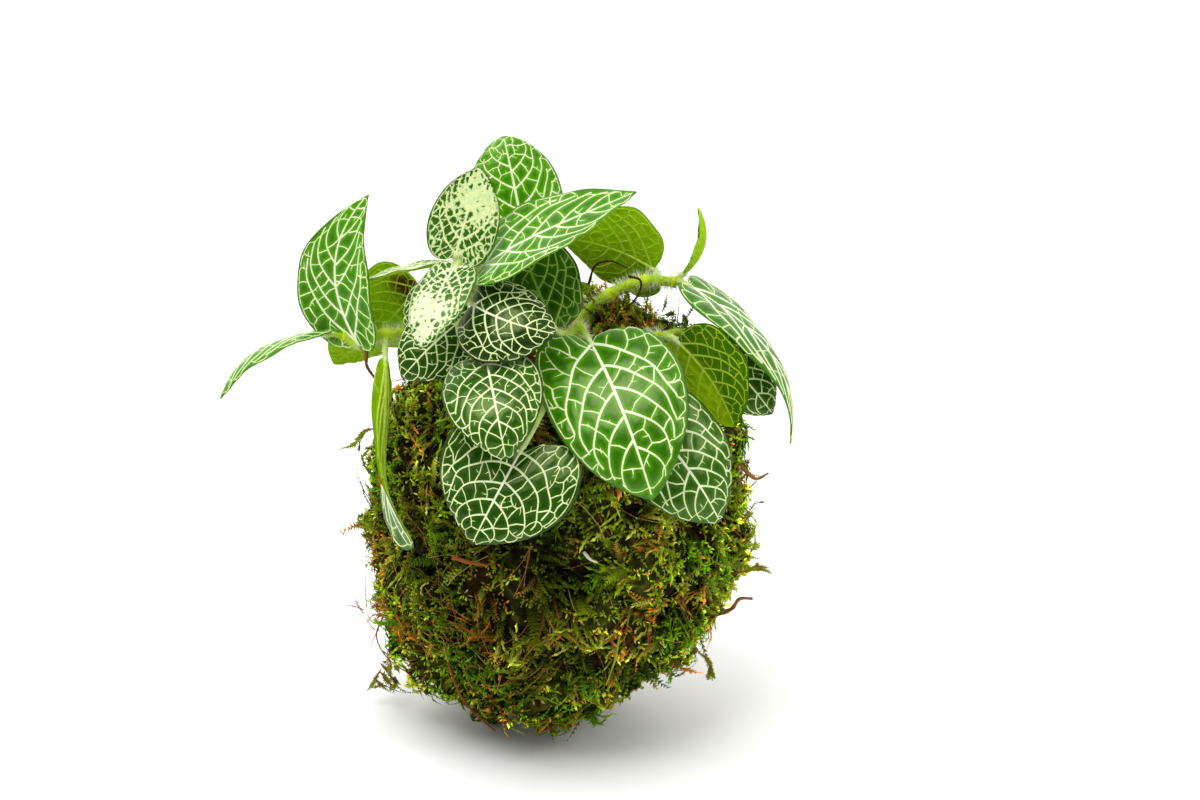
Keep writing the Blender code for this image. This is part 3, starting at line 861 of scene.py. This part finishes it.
# %% Stem table and curves
Stem = namedtuple("Stem", "points radius tip_radius")
STEMS = {
    "front": Stem([(3, -8, 84), (4, -16, 95), (5, -26, 103), (6, -31, 106)], 1.5, 1.1),
    "top": Stem(
        [(-9, -6, 84), (-12, -12, 98), (-15, -20, 110), (-18, -28, 118), (-20, -31, 122)],
        1.5,
        0.8,
    ),
    "left": Stem(
        [(-14, 0, 84), (-20, -3, 95), (-29, -8, 99), (-38, -11, 99), (-48, -12, 99)],
        1.6,
        1.0,
    ),
    "right": Stem(
        [(5, 3, 84), (7, -3, 100), (13, -6, 107), (21, -5, 110), (28, -6, 110)],
        1.6,
        1.1,
    ),
    "right_low": Stem([(13, -8, 84), (17, -14, 97), (24, -20, 101)], 1.7, 1.1),
    "back": Stem([(-2, 10, 84), (-2, 14, 97), (0, 20, 103)], 1.5, 1.1),
}
STEM_STEPS = 60
HAIR_RADIUS = 0.055
STEM_HAIRS, STEM_HAIR_LENGTH = 1100, 2.4
STALK_HAIRS, STALK_HAIR_LENGTH = 90, 1.3
STEM_GREEN, STEM_PALE = linear("#9cbd12"), linear("#c3dc2a")
STEM_BROWN = linear("#7c6823")


def smooth_through(points, count):
    """Evenly shared points on a Catmull-Rom curve through the given points."""
    knots = np.array(points, float)
    knots = np.concatenate([2 * knots[:1] - knots[1:2], knots, 2 * knots[-1:] - knots[-2:-1]])
    spans = len(knots) - 3
    whole = np.linspace(0, spans, count)
    k = np.minimum(whole.astype(int), spans - 1)
    t = (whole - k)[:, None]
    a, b, c, d = (knots[k + i] for i in range(4))
    curve = 2 * b + (c - a) * t + (2 * a - 5 * b + 4 * c - d) * t**2
    return 0.5 * (curve + (3 * b - 3 * c + d - a) * t**3)


def swept(paths, radii, corners, flat=1.0, up=(0.3, 0.2, 1.0), spin=0.0):
    """Round rings along paths[tube, step]: cosine along the side and sine along the upper
    direction, times the radius. flat squeezes the upper direction."""
    along = unit(np.gradient(paths, axis=1))
    side = unit(np.cross(along, np.broadcast_to(up, paths.shape)))
    above = np.cross(side, along)
    angle = 2 * np.pi * np.arange(corners) / corners + np.asarray(spin)[..., None]
    ring = side[:, :, None] * np.cos(angle)[..., None]
    ring = ring + above[:, :, None] * np.sin(angle)[..., None] * flat
    return paths[:, :, None] + ring * radii[..., None, None]


def round_rod(path, radii, corners, tint, finish=0):
    """A closed round rod along one path, with a radius and a colour for each point."""
    rings = swept(path[None], radii[None], corners)
    return tubes(rings, path[:1], path[-1:], tint[None], finish)


def stem_shape(stem):
    """A stem: a swept circle whose radius swells near each joint."""
    path = smooth_through(stem.points, STEM_STEPS)
    share = np.linspace(0, 1, STEM_STEPS)
    radius = stem.radius + (stem.tip_radius - stem.radius) * share
    joints = np.linspace(0, 1, len(stem.points))[1:]
    near = np.exp(-(((share[:, None] - joints) / 0.035) ** 2)).max(1)
    radius = radius * (1 + 0.3 * near) * (1 + 0.1 * (noise(path, 1.3) - 0.5))
    brown = noise(path, 5.0) * 1.3 - 0.3 - share
    tint = blended(blended(STEM_GREEN, STEM_PALE, near), STEM_BROWN, brown.clip(0, 0.8))
    return round_rod(path, radius, 14, tint)


def hairs(path, radius, count, size, rng):
    """White hairs that stand out round a path: each is a three-sided spindle."""
    place_on = rng.uniform(0.12, 1.0, count) * (len(path) - 1)
    k = np.minimum(place_on.astype(int), len(path) - 2)
    t = (place_on - k)[:, None]
    root = path[k] * (1 - t) + path[k + 1] * t
    along = unit(path[k + 1] - path[k])
    out = unit(np.cross(along, unit(rng.normal(size=(count, 3)))))
    out = unit(out + along * rng.normal(0, 0.35, (count, 1)))
    root = root + out * radius * 0.9
    reach = size * rng.uniform(0.5, 1.2, (count, 1))
    ring = swept(np.stack([root, root + out * 0.1], 1), np.full((count, 2), HAIR_RADIUS), 3)
    tint = np.broadcast_to(linear("#e9efc9"), (count, 1, 3))
    return tubes(ring[:, :1], root - out * 0.1, root + out * reach, tint)


def stalk_path(leaf):
    """From the middle of the stem to just inside the blade, along a quadratic curve."""
    base = leaf_axes(leaf)[0]
    joint = np.array(STEMS[leaf.stem].points[leaf.joint], float)
    inside = blade_at(leaf, np.array([0.07]), np.zeros(1))[0]
    ahead = unit(blade_at(leaf, np.array([0.05]), np.zeros(1))[0] - base)
    bend = base - ahead * np.linalg.norm(base - joint) * 0.45
    t = np.linspace(0, 1, 14)[:, None]
    curve = joint * (1 - t) ** 2 + bend * 2 * t * (1 - t) + base * t**2
    return np.concatenate([curve, inside[None]])


def stalk_shape(leaf):
    path = stalk_path(leaf)
    share = np.linspace(0, 1, len(path))
    radius = 0.85 - 0.25 * share
    radius[-1] = 0.3
    tint = blended(STEM_GREEN, CREAM_VEIN[0], share**2)
    return round_rod(path, radius, 10, tint, 2)


# %% Make the leaves and the stems
def add_leaf(name, leaf, seed):
    rng = np.random.default_rng(seed)
    young = name.startswith("young")
    batches = vein_net(leaf, rng)
    rows = 120 if young else int(28 + 1.2 * leaf_length(leaf))
    columns = 96 if young else int(22 + 1.1 * leaf.width)
    paint = paint_young if young else paint_grown
    shapes = [blade_skin(leaf, batches, paint, rows, columns)]
    upper = YOUNG_VEIN if young else CREAM_VEIN
    upper = DIM_VEIN if name == "centre_back" else upper
    shapes += [vein_ridges(leaf, batch, upper, UNDER_VEIN) for batch in batches]
    shapes.append(stalk_shape(leaf))
    stalk_hairs = hairs(stalk_path(leaf), 0.7, STALK_HAIRS, STALK_HAIR_LENGTH, rng)
    shapes.append(stalk_hairs._replace(finish=stalk_hairs.finish + 2))
    slot = "young_leaf" if young else "leaf"
    place(name + "_blade", shapes, (upper_skin, under_skin, stem_skin), slot, "leaf_" + name)


for number, (name, leaf) in enumerate(LEAVES.items()):
    add_leaf(name, leaf, 100 + number)

for number, (name, stem) in enumerate(STEMS.items()):
    rng = np.random.default_rng(300 + number)
    path = smooth_through(stem.points, STEM_STEPS)
    fur = hairs(path, stem.tip_radius, STEM_HAIRS, STEM_HAIR_LENGTH, rng)
    shapes = [stem_shape(stem), fur]
    place(name + "_stem", shapes, (stem_skin,), "stem", "stem_" + name)

# %% [markdown]
# ## The ball of moss
#
# Sheet moss is a mat of small branching shoots. From a distance it is a lumpy, hollowed
# surface; closer, each shoot is a little curved feather, dark at the base and bright at the
# tip. So the ball is made in layers: a dark lumpy mat, thousands of simple shoots that lie
# along it, finer leafy shoots on top, and loose brown fibres.

# %% The ball's surface
BALL_RADIUS = 45.5
BALL_CENTRE = np.array([0.0, 0.0, 50.0])
BALL_TOP = (47.0, 2.4)
BALL_BOTTOM = (54.0, 1.9)
BALL_LEAN = 4.0
MOUTH_ANGLE = math.radians(28.0)
FOOT_ANGLE = math.radians(17.0)
MEAN_RADIUS = 46.0
GOLDEN_ANGLE = 2.39996  # radians: a spiral with this turn spreads points evenly


def ball_reach(way):
    """Distance from the centre to the surface along unit directions: a superellipsoid,
    fuller above than below, with a few shallow swellings."""
    level = np.hypot(way[..., 0], way[..., 1])
    up = way[..., 2] > 0
    height = np.where(up, BALL_TOP[0], BALL_BOTTOM[0])
    square = np.where(up, BALL_TOP[1], BALL_BOTTOM[1])
    shape = (level / BALL_RADIUS) ** square + (np.abs(way[..., 2]) / height) ** square
    turn = np.arctan2(way[..., 1], way[..., 0])
    swelling = 0.018 * np.sin(3 * turn + 0.6) * level
    swelling += 0.016 * np.sin(2 * turn - 1.1) * way[..., 2]
    swelling += 0.012 * np.sin(5 * turn + 4.0 * way[..., 2]) * level
    return shape ** (-1 / square) * (1 + swelling)


def over_ball(way, above=0.0):
    """Points above the ball's surface along unit directions; the foot leans to one side."""
    point = BALL_CENTRE + way * (ball_reach(way) + above)[..., None]
    below = np.clip(BALL_CENTRE[2] - point[..., 2], 0, None) / BALL_CENTRE[2]
    point[..., 0] -= BALL_LEAN * below**2
    return point


def ways(down, turn):
    """Unit directions from an angle down from the top and a turn round it."""
    down, turn = np.broadcast_arrays(down, turn)
    ring = np.sin(down)
    return np.stack([ring * np.cos(turn), ring * np.sin(turn), np.cos(down)], -1)


# %% The dark mat, with painted shade in its hollows
HOLLOW_SHADE, OLIVE = linear("#0d0e03"), linear("#34380a")
ROOT_BROWN = linear("#3a2408")
LUMPS = ((10.0, 9.0), (4.2, 5.0), (1.4, 1.2))  # size and height, mm


def lumps(points):
    """How far the moss swells out or sinks in, in three sizes of lump."""
    return sum(height * (noise(points, size) - 0.5) for size, height in LUMPS)


def mat_height(points):
    """The mat's height over the ball's surface: its lumps, less what the foot draws in."""
    foot = np.clip((44 - points[..., 2]) / 36, 0, 1) ** 2
    side = np.clip(points[..., 0] / 30, -0.3, 1)
    return lumps(points) - 2.4 - (3.6 + 3.2 * side) * foot


MAT_ROUND, MAT_DOWN, MAT_INSIDE = 240, 136, 12
MAT_SUNK = 1.3  # the mat lies this far under the shoots' roots, mm
MAT_THICKNESS = 8.0
turn = np.linspace(0, 2 * np.pi, MAT_ROUND, endpoint=False)[None]
down = np.linspace(MOUTH_ANGLE, np.pi - 0.02, MAT_DOWN)[:, None]
outer = over_ball(ways(down, turn))
outer = over_ball(ways(down, turn), mat_height(outer) - MAT_SUNK)
down_inside = np.linspace(np.pi - 0.05, MOUTH_ANGLE + 0.02, MAT_INSIDE)[:, None]
inner = over_ball(ways(down_inside, turn), -MAT_THICKNESS)
rings = np.concatenate([inner, outer])
rings[..., 2] = rings[..., 2].clip(0, None)
rings[:MAT_INSIDE, :, 2] = rings[:MAT_INSIDE, :, 2].clip(8, None)
depth = np.concatenate([np.full(inner.shape[:2], -2.0), lumps(outer)])
# Painted shade: the mat is darker the deeper its hollows, and darkest inside.
tint = blended(HOLLOW_SHADE, OLIVE, (depth + 1.0) / 3.5)
tint = blended(tint, ROOT_BROWN, 1.6 * noise(rings, 8.0) - 0.7)
tint = tint * np.random.default_rng(52).uniform(0.3, 2.2, tint.shape[:2] + (1,))
ends = np.array([[-BALL_LEAN, 0.0, 8.0], [-BALL_LEAN, 0.0, 0.0]])
mat = tubes(rings[None], ends[:1], ends[1:], tint[None])
place("moss_mat", [mat], (moss_mat,), "moss", "moss_wrap")

# %% [markdown]
# ## Moss shoots
#
# A shoot starts at a point of the ball and runs along its surface, bending as it goes. The
# cheap kind is a tube with four corners whose rings are wide and narrow by turns, which
# reads as whorls of leaflets. The fine kind is a thin stalk with pairs of leaflets, each a
# tiny closed spike. Tiny tufts fill what is left of the mat between them.


# %% Paths along the ball
HIGHEST, LOWEST = MOUTH_ANGLE - 0.12, np.pi - FOOT_ANGLE + 0.02  # of the moss, from the top


def spread_down(rng, count, start, end):
    """Angles down from the top, in equal steps of height so that they share the ball."""
    even = (np.arange(count) + rng.uniform(0, 1, count)) / count
    start, end = np.cos(start), np.cos(end)
    return np.arccos(start + (end - start) * even)


def surface_paths(rng, tufts, each, length, lift, steps):
    """Curved paths over the ball in tufts. A tuft shares a place, a heading and a height,
    and each of its shoots has its own small shift, bend and rise."""
    count = tufts * each
    own = np.repeat(np.arange(tufts), each)
    down = spread_down(rng, tufts, LOWEST, HIGHEST)
    turn = GOLDEN_ANGLE * np.arange(tufts) + rng.normal(0, 0.08, tufts) + rng.uniform(0, 6)
    start = ways(down, turn)
    start = unit(start[own] + rng.normal(0, 0.05, (count, 3)))
    centre = MEAN_RADIUS * start
    flow = np.stack([noise(centre + shift, 22.0) for shift in (0, 90, 180)], -1) - 0.5
    any_way = 5 * flow + (0.1, 0, -0.5) + 0.6 * rng.normal(size=(tufts, 3))[own]
    any_way = any_way + rng.normal(0, 0.45, (count, 3))
    stand = rng.uniform(-1.0, 2.4, tufts)[own][:, None]
    heading = unit(any_way - start * (any_way * start).sum(1, keepdims=True))
    aside = np.cross(start, heading)
    size = rng.uniform(*length, count)
    t = np.linspace(0, 1, steps)[None, :, None]
    reach = (size / MEAN_RADIUS)[:, None, None]
    bend = rng.normal(0, 0.45, count)[:, None, None]
    curl = aside[:, None] * (bend * reach * t * t)
    way = unit(start[:, None] + heading[:, None] * reach * t + curl)
    rise = rng.uniform(*lift, count)[:, None]
    height = mat_height(over_ball(way)) - 0.4 + (rise + stand) * t[..., 0] ** 1.3
    points = over_ball(way, height + 0.5 * np.sin(np.pi * t[..., 0]))
    points[..., 2] = points[..., 2].clip(0.35, None)
    return points, way, own


MOSS_DARK, MOSS_OLIVE = linear("#151600"), linear("#5c6100")
MOSS_BRIGHT, MOSS_YELLOW = linear("#94a41c"), linear("#c9cc4e")
MOSS_TAN, MOSS_RUST = linear("#9a7f34"), linear("#e08a2c")
MOSS_GREEN = linear("#5a8a04")
STALK_RADIUS = 0.13


def shoot_tints(rng, points, own):
    """Root and tip colours of each shoot: by patches on the ball, by tuft and by chance.
    Painted light makes the tips brighter towards the sides, most on the right, towards the top
    and on raised lumps, and turns more of them yellow on the right; painted shade darkens the
    front below the leaves."""
    middle = points[:, points.shape[1] // 2]
    patch = 0.7 * noise(middle, 12.0) + 0.3 * noise(middle, 4.0)
    tuft = rng.random(own.max() + 1)[own]
    chance = rng.random(len(points))
    tip = blended(MOSS_OLIVE, MOSS_BRIGHT, 1.6 * patch - 0.7 + 0.7 * tuft + 0.4 * chance)
    # Painted light: tips on the right side turn yellow more often.
    edge = 0.25 * np.clip(middle[:, 0] / 45, 0, 1)
    tip = blended(tip, MOSS_YELLOW, np.clip(3.5 * (tuft * chance - 0.5 + edge), 0, 1))
    wet = 2.2 * (noise(middle + 20, 9.0) - 0.5) + 0.6 * np.clip(1 - middle[:, 2] / 40, 0, 1)
    tip = blended(tip, MOSS_GREEN, np.clip(wet + 0.12, 0, 0.8))
    brown = np.clip(2.2 * noise(middle + 50, 9.0) - 1.0, 0, 1)
    dry = chance < 0.05 + 0.5 * brown
    dead = blended(MOSS_TAN, MOSS_RUST, rng.random(len(points)) ** 1.5)
    tip = blended(tip, dead, dry * 0.85)
    height = lumps(middle)[:, None, None]
    t = np.linspace(0, 1, points.shape[1])[None, :, None]
    x, y, z = np.moveaxis(middle[:, None, None], -1, 0)
    # Painted light: brighter towards the sides, the right most, towards the top and on raised
    # lumps.
    side = np.clip(np.where(x > 0, 1.3, 0.5) * (x / 42) ** 2, 0, 1.3)
    side = side + ((z - 60) / 60).clip(0, 1)
    # Painted shade: the front is darker where the leaves hang over it.
    shaded = np.exp(-(((x - 4) / 21) ** 2) - ((z - 56) / 15) ** 2) * (y < 0)
    share = (0.5 * t + 0.8 * t**3) * np.clip(1.5 + 1.3 * side + 0.3 * height, 0.25, 3.0)
    share = share * (1 - 0.35 * shaded)
    return MOSS_DARK * (1 - t) ** 2 + tip[:, None] * share


def plain_shoots(rng, points, way, own, width):
    """Four-cornered tubes whose rings are wide and narrow by turns, like a braid."""
    steps = points.shape[1]
    t = np.linspace(0, 1, steps)
    body = np.sin(np.pi * (0.12 + 0.83 * t)) ** 0.6
    whorl = np.where(np.arange(steps) % 2, 1.0, 0.42)
    radii = width[:, None] / 2 * body * whorl * rng.uniform(0.8, 1.2, points.shape[:2])
    spin = np.arange(steps) * np.pi / 4 + rng.uniform(0, 6, len(points))[:, None]
    rings = swept(points, radii, 4, 0.7, way, spin)
    tip = points[:, -1] * 1.5 - points[:, -2] * 0.5
    return tubes(rings, points[:, 0], tip, shoot_tints(rng, points, own))


def leafy_shoots(rng, points, way, own, width, pairs, tints=None):
    """A thin stalk with pairs of leaflets, each a closed spike on a three-cornered foot."""
    count, steps = points.shape[:2]
    if tints is None:
        tints = shoot_tints(rng, points, own)
    t = np.linspace(0, 1, steps)
    stalk = swept(points, np.full((count, 1), STALK_RADIUS) * (1.1 - 0.7 * t), 3, 1.0, way)
    shapes = [tubes(stalk, points[:, 0], points[:, -1], tints * 0.8)]
    where = np.linspace(0.08, 0.97, pairs) * (steps - 1)
    k = np.minimum(where.astype(int), steps - 2)
    f = (where - k)[None, :, None]
    root = points[:, k] * (1 - f) + points[:, k + 1] * f
    along = unit(points[:, k + 1] - points[:, k])
    up = way[:, k]
    side = unit(np.cross(along, up))
    shade = tints[:, k] * (1 - f) + tints[:, k + 1] * f
    body = np.sin(np.pi * (0.1 + 0.82 * where / (steps - 1)))
    size = width[:, None, None] / 2 * body[None, :, None]
    for sign in (-1, 1):
        jitter = rng.uniform(0.75, 1.25, (count, pairs, 1))
        out = side * sign + along * 0.55 + up * rng.uniform(-0.2, 0.5, (count, pairs, 1))
        tip = root + unit(out) * size * jitter * 1.1
        grip = along * 0.42 * size
        foot = np.stack([root - grip, root + grip, root + up * 0.3 * size], 2)
        under = (root - up * 0.02).reshape(-1, 3)
        rings = foot.reshape(-1, 1, 3, 3)
        shapes.append(tubes(rings, under, tip.reshape(-1, 3), shade.reshape(-1, 1, 3)))
    return shapes


# %% Cover the ball
rng = np.random.default_rng(41)
for layer in range(2):
    points, way, own = surface_paths(rng, 150, 11, (3.2, 7.0), (0.0, 1.6), 11)
    width = rng.uniform(1.0, 1.7, len(points))
    shoots = plain_shoots(rng, points, way, own, width)
    place(f"moss_shoots_{layer + 1}", [shoots], (moss_leaf,), "moss")
for layer in range(3):
    points, way, own = surface_paths(rng, 120, 9, (3.5, 8.0), (0.4, 3.0), 6)
    width = rng.uniform(1.1, 2.1, len(points))
    shoots = leafy_shoots(rng, points, way, own, width, 11)
    place(f"moss_feathers_{layer + 1}", shoots, (moss_leaf,), "moss")
points, way, own = surface_paths(rng, 70, 3, (6.0, 13.0), (2.5, 6.5), 8)
fringe = leafy_shoots(rng, points, way, own, rng.uniform(1.8, 3.4, len(points)), 16)
place("moss_fringe", fringe, (moss_leaf,), "moss")


# %% Tiny tufts between the shoots
def rosettes(rng, count, each, size):
    """Short spikes that spread from points of the mat, evenly set on a golden spiral."""
    down = spread_down(rng, count, HIGHEST, LOWEST)
    start = ways(down, GOLDEN_ANGLE * np.arange(count))
    start = unit(start + rng.normal(0, 0.03, (count, 3))).repeat(each, 0)
    root = over_ball(start, mat_height(over_ball(start)))
    out = unit(start + rng.normal(0, 0.6, start.shape))
    path = np.stack([root, root + out * size * rng.uniform(0.4, 1.0, (len(root), 1))], 1)
    tint = shoot_tints(rng, path, np.arange(count).repeat(each))
    radii = np.array([0.16, 0.3]) * rng.uniform(0.8, 1.3, (len(root), 1))
    spin = rng.uniform(0, 6, (len(root), 1))
    rings = swept(path, radii, 3, 0.6, rng.normal(size=path.shape), spin)
    tip = path[:, 1] + (path[:, 1] - path[:, 0]) * 0.5
    return tubes(rings, path[:, 0], tip, tint)


rng = np.random.default_rng(44)
place("moss_rosettes", [rosettes(rng, 2600, 6, 1.7)], (moss_leaf,), "moss")


# %% Clumps of moss away from the ball's own surface
def clump(rng, centre, spread, count, length, lean=(0, 0, 0.7)):
    """Shoots that start near a point and fan out in bent lines, mostly along lean."""
    start = np.array(centre, float) + rng.normal(0, spread, (count, 3))
    heading = unit(rng.normal(size=(count, 3)) + lean)
    bend = rng.normal(0, 0.25, (count, 1, 3))
    t = np.linspace(0, 1, 7)[None, :, None]
    size = rng.uniform(*length, (count, 1, 1))
    points = start[:, None] + size * (heading[:, None] * t + bend * t * t)
    points[..., 2] = points[..., 2].clip(0.4, None)
    up = unit(rng.normal(size=(count, 1, 3)) * 0.5 + (0, -0.6, 1))
    way = np.broadcast_to(up, points.shape)
    return points, way, rng.integers(0, max(count // 6, 1), count)


def bunches(name, seed, centres, count, spread, length, width, tints=None):
    """Clumps at the given centres as one piece. tints runs along a shoot in seven steps."""
    rng = np.random.default_rng(seed)
    shapes = []
    for centre in centres:
        points, way, own = clump(rng, centre, spread, count, length)
        wide = rng.uniform(*width, count)
        given = None if tints is None else tints[None] * rng.uniform(0.5, 1.2, (count, 1, 1))
        shapes += leafy_shoots(rng, points, way, own, wide, 9, given)
    place(name, shapes, (moss_leaf,), "moss")


def run_of(low, high, reach=1.0):
    """The colours of a shoot's seven steps, from low towards high."""
    return blended(low, high, np.linspace(0, reach, 7))


TOP_CLUMPS = [(9, 0, 97), (14, -2, 99), (20, -6, 99), (26, -10, 98), (12, -9, 96)]
TOP_CLUMPS += [(18, -12, 97), (24, -15, 96), (31, -15, 92), (9, -1, 102), (13, -3, 102)]
bunches("moss_round_stems", 47, TOP_CLUMPS, 34, 1.6, (3.0, 6.0), (1.2, 2.2))
CREST = [(13, -5, 102.5), (17, -6, 102.5), (21, -8, 101.5)]
CREST += [(25, -10, 100), (29, -12, 98), (33, -12, 95)]
mossy = run_of(MOSS_OLIVE * 0.3, MOSS_BRIGHT * 1.25)
bunches("moss_crest", 51, CREST, 34, 1.6, (2.5, 5.0), (1.1, 2.0), mossy)
RIGHT_CLUMPS = [(42, -8, 63), (43, -9, 55), (41.5, -12, 47), (38, -16, 69)]
# Tan dry tips turning yellow, where the yellow is partly painted backlight on the right edge.
tan_to_lit_yellow = run_of(MOSS_TAN, MOSS_YELLOW, 1.6)
bunches("moss_at_right", 48, RIGHT_CLUMPS, 14, 2.2, (2.5, 5.5), (0.8, 1.6), tan_to_lit_yellow)
RUST_CLUMPS = [(14, -9, 101), (19, -11, 99), (-17.6, -42, 41), (-16, -43, 37)]
RUST_CLUMPS += [(-39, -19, 31), (-42, -14, 33), (-36, -24, 30)]
rusty = run_of(MOSS_RUST * 0.5, MOSS_RUST * 1.5)
bunches("moss_dry_tufts", 49, RUST_CLUMPS, 12, 1.4, (3.0, 6.5), (0.5, 1.0), rusty)


# %% Loose fibres
def fibres(rng, count, length, lift, radius, low, high):
    """Thin rods that wander over the moss."""
    points, way, _ = surface_paths(rng, count // 4, 4, length, lift, 9)
    radii = rng.uniform(0.6, 1.2, (count, 1)) * radius * np.linspace(1, 0.5, 9)
    tint = blended(low, high, rng.random(count))[:, None] * np.ones((1, 9, 1))
    return tubes(swept(points, radii, 4, 1.0, way), points[:, 0], points[:, -1], tint)


rng = np.random.default_rng(52)
threads = [
    fibres(rng, 300, (5, 18), (0.8, 3.0), 0.11, linear("#8f5c22"), linear("#dc9450")),
    fibres(rng, 160, (5, 16), (1.0, 4.0), 0.1, linear("#d0b267"), linear("#a5a225")),
]
place("moss_fibres", threads, (dry_stalk,), "moss")


# %% Loose strands that catch the eye
def rod(points, radius, code):
    """One thin rod along a smooth curve, in one colour, half as thick at its end."""
    path = smooth_through(points, 20)
    radii = radius * np.linspace(1, 0.5, 20) * (1 + 0.4 * (noise(path, 0.8) - 0.5))
    return round_rod(path, radii, 6, np.broadcast_to(linear(code), (20, 3)))


STRANDS = [
    ([(8, -12, 111), (9.5, -12.5, 115.5), (13, -12, 116.5), (17, -11, 114.5)], 0.32, "#2c1c06"),
    ([(17, -12, 113), (19.7, -12, 112), (19.4, -12, 109), (16.5, -12, 105)], 0.3, "#3c2408"),
    ([(-41, 2, 26), (-43, 2, 20), (-40, 2, 14), (-33, 2, 9)], 0.22, "#8a4a18"),
    ([(-24, -35, 28), (-20.5, -31, 17), (-14, -20, 5)], 0.3, "#7a4312"),
    ([(-22, -42.5, 56.5), (-18.5, -44.5, 56), (-14.5, -45, 55.5)], 0.55, "#8a4a1c"),
    ([(7, -46, 59), (8.5, -46.8, 57.5), (10, -46, 56.6)], 0.4, "#c9c8a8"),
    ([(15, -43, 38), (14, -42, 32), (12, -38, 24)], 0.28, "#8f9430"),
]
place("loose_strands", [rod(*strand) for strand in STRANDS], (dry_stalk,), "moss")

# %% [markdown]
# ## Soil, thread, twigs and sprigs
#
# Dark soil shows between the stems. The thread is wound tight, so the moss swells on both
# sides and half hides it. A few dry twigs and loose sprigs of moss stand clear of the ball.

# %% Soil in the mouth
down = np.linspace(0.02, MOUTH_ANGLE * 1.02, 40)[:, None]
turn = np.linspace(0, 2 * np.pi, 120, endpoint=False)[None]
way = ways(down, turn)
crumbs = 2.4 * (noise(over_ball(way), 2.6) - 0.5)
crumbs = crumbs + 1.1 * (noise(over_ball(way), 0.9) - 0.5)
top = over_ball(way, -2.2 + crumbs)
bottom = over_ball(ways(down[::-1][:12], turn), -9.0)
rings = np.concatenate([top, bottom])[None]
tint = blended(linear("#1c1208"), linear("#4a3218"), noise(rings, 1.2))
ends = np.array([over_ball(np.array([0.0, 0.0, 1.0]), -2.0), [0, 0, 85.0]])
place("soil", [tubes(rings, ends[:1], ends[1:], tint)], (damp_soil,), "soil", "soil_core")

# %% Thread
THREAD_TURNS, THREAD_POINTS = 3.25, 900
THREAD_TILT = math.radians(38.0)
THREAD_TOP, THREAD_LOW = math.radians(72.0), math.radians(118.0)  # down from the axis
PLY_RADIUS, PLY_SHIFT = 0.27, 0.22
share = np.linspace(0, 1, THREAD_POINTS)
spin = 2 * np.pi * THREAD_TURNS * share
polar = THREAD_TOP + (THREAD_LOW - THREAD_TOP) * share
lean = np.array([math.sin(THREAD_TILT), 0.0, math.cos(THREAD_TILT)])
across = np.array([0.0, 1.0, 0.0])
third = np.cross(lean, across)
round_axis = across * np.sin(spin)[:, None] + third * np.cos(spin)[:, None]
way = lean * np.cos(polar)[:, None] + round_axis * np.sin(polar)[:, None]
bare = over_ball(way)
path = over_ball(way, mat_height(bare) - 0.3 * lumps(bare) + 0.2)
path[:, 2] = path[:, 2].clip(0.8, None)
along = unit(np.gradient(path, axis=0))
side = unit(np.cross(along, way))
tint = np.broadcast_to(linear("#15140c"), (1, THREAD_POINTS, 3))
plies = []
for ply in range(2):
    turned = (share * THREAD_POINTS * 0.55 + ply * np.pi)[:, None]
    shift = side * np.cos(turned) + np.cross(side, along) * np.sin(turned)
    strand = (path + PLY_SHIFT * shift)[None]
    ring = swept(strand, np.full((1, THREAD_POINTS), PLY_RADIUS), 6, 1.0, way[None])
    plies.append(tubes(ring, strand[:, 0], strand[:, -1], tint))
place("cotton_thread", plies, (cotton,), "thread", "binding_thread")

# %% Twigs and sprigs
# A twig is its radius and its route. A sprig is its count of side shoots and its route.
TWIGS = {
    "right": (0.55, [(36, -13, 31), (41, -15, 33.5), (43, -16, 36.5), (46, -17, 37)]),
    "right_high": (0.5, [(40, -13, 69), (43.5, -13, 67.5), (46.5, -13, 65), (49.5, -12, 66)]),
    "left": (0.5, [(-42.5, -14, 96), (-42.5, -14, 92.5), (-41, -12, 89)]),
}
SPRIGS = {
    "left_low": (16, [(-33, 8, 22), (-37.5, 8, 16), (-41, 8, 10), (-38, 8, 4), (-34, 8, 3)]),
    "left_high": (2, [(-41, -9, 76), (-44, -9, 75), (-46, -10, 72.5), (-50, -10, 71)]),
    "right_low": (2, [(31, -13, 24), (35.5, -14, 21), (36.5, -15, 19), (37, -16, 16)]),
    "right_mid": (3, [(41, -9, 40), (45, -9, 41), (46.5, -9, 41.5), (48.5, -9, 41)]),
}
for name, (radius, route) in TWIGS.items():
    path = smooth_through(route, 24)
    radii = radius * np.linspace(1.1, 0.55, 24) * (1 + 0.5 * (noise(path, 1.0) - 0.5))
    tint = blended(linear("#573517"), linear("#a26b36"), noise(path, 1.5))
    bark = round_rod(path, radii, 8, tint)
    place(f"twig_{name}_bark", [bark], (dry_stalk,), "twig", "twig_" + name)
for number, (name, (side_shoots, route)) in enumerate(SPRIGS.items()):
    rng = np.random.default_rng(600 + number)
    main = smooth_through(route, 14)[None]
    way = unit(main - BALL_CENTRE) + (0, -1.0, 0)
    fresh = blended(MOSS_RUST * 0.6, MOSS_BRIGHT * 1.2, np.linspace(0.2, 1.4, 14))[None]
    shapes = leafy_shoots(rng, main, way, None, np.array([1.9]), 26, fresh)
    lean = unit(main[0, 9] - main[0, 5]) * 2
    spread = 0.12 * side_shoots
    points, way, own = clump(rng, main[0, 7], spread, side_shoots, (3.0, 5.5), lean)
    fresh = fresh[:, ::2].repeat(side_shoots, 0)
    shapes += leafy_shoots(rng, points, way, own, np.full(side_shoots, 1.7), 12, fresh)
    place(f"sprig_{name}_moss", shapes, (moss_leaf,), "moss", "sprig_" + name)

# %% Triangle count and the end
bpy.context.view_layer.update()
meshes = [o.data for o in bpy.data.objects if o.type == "MESH"]
print("triangles in all:", sum(len(mesh.polygons) for mesh in meshes))
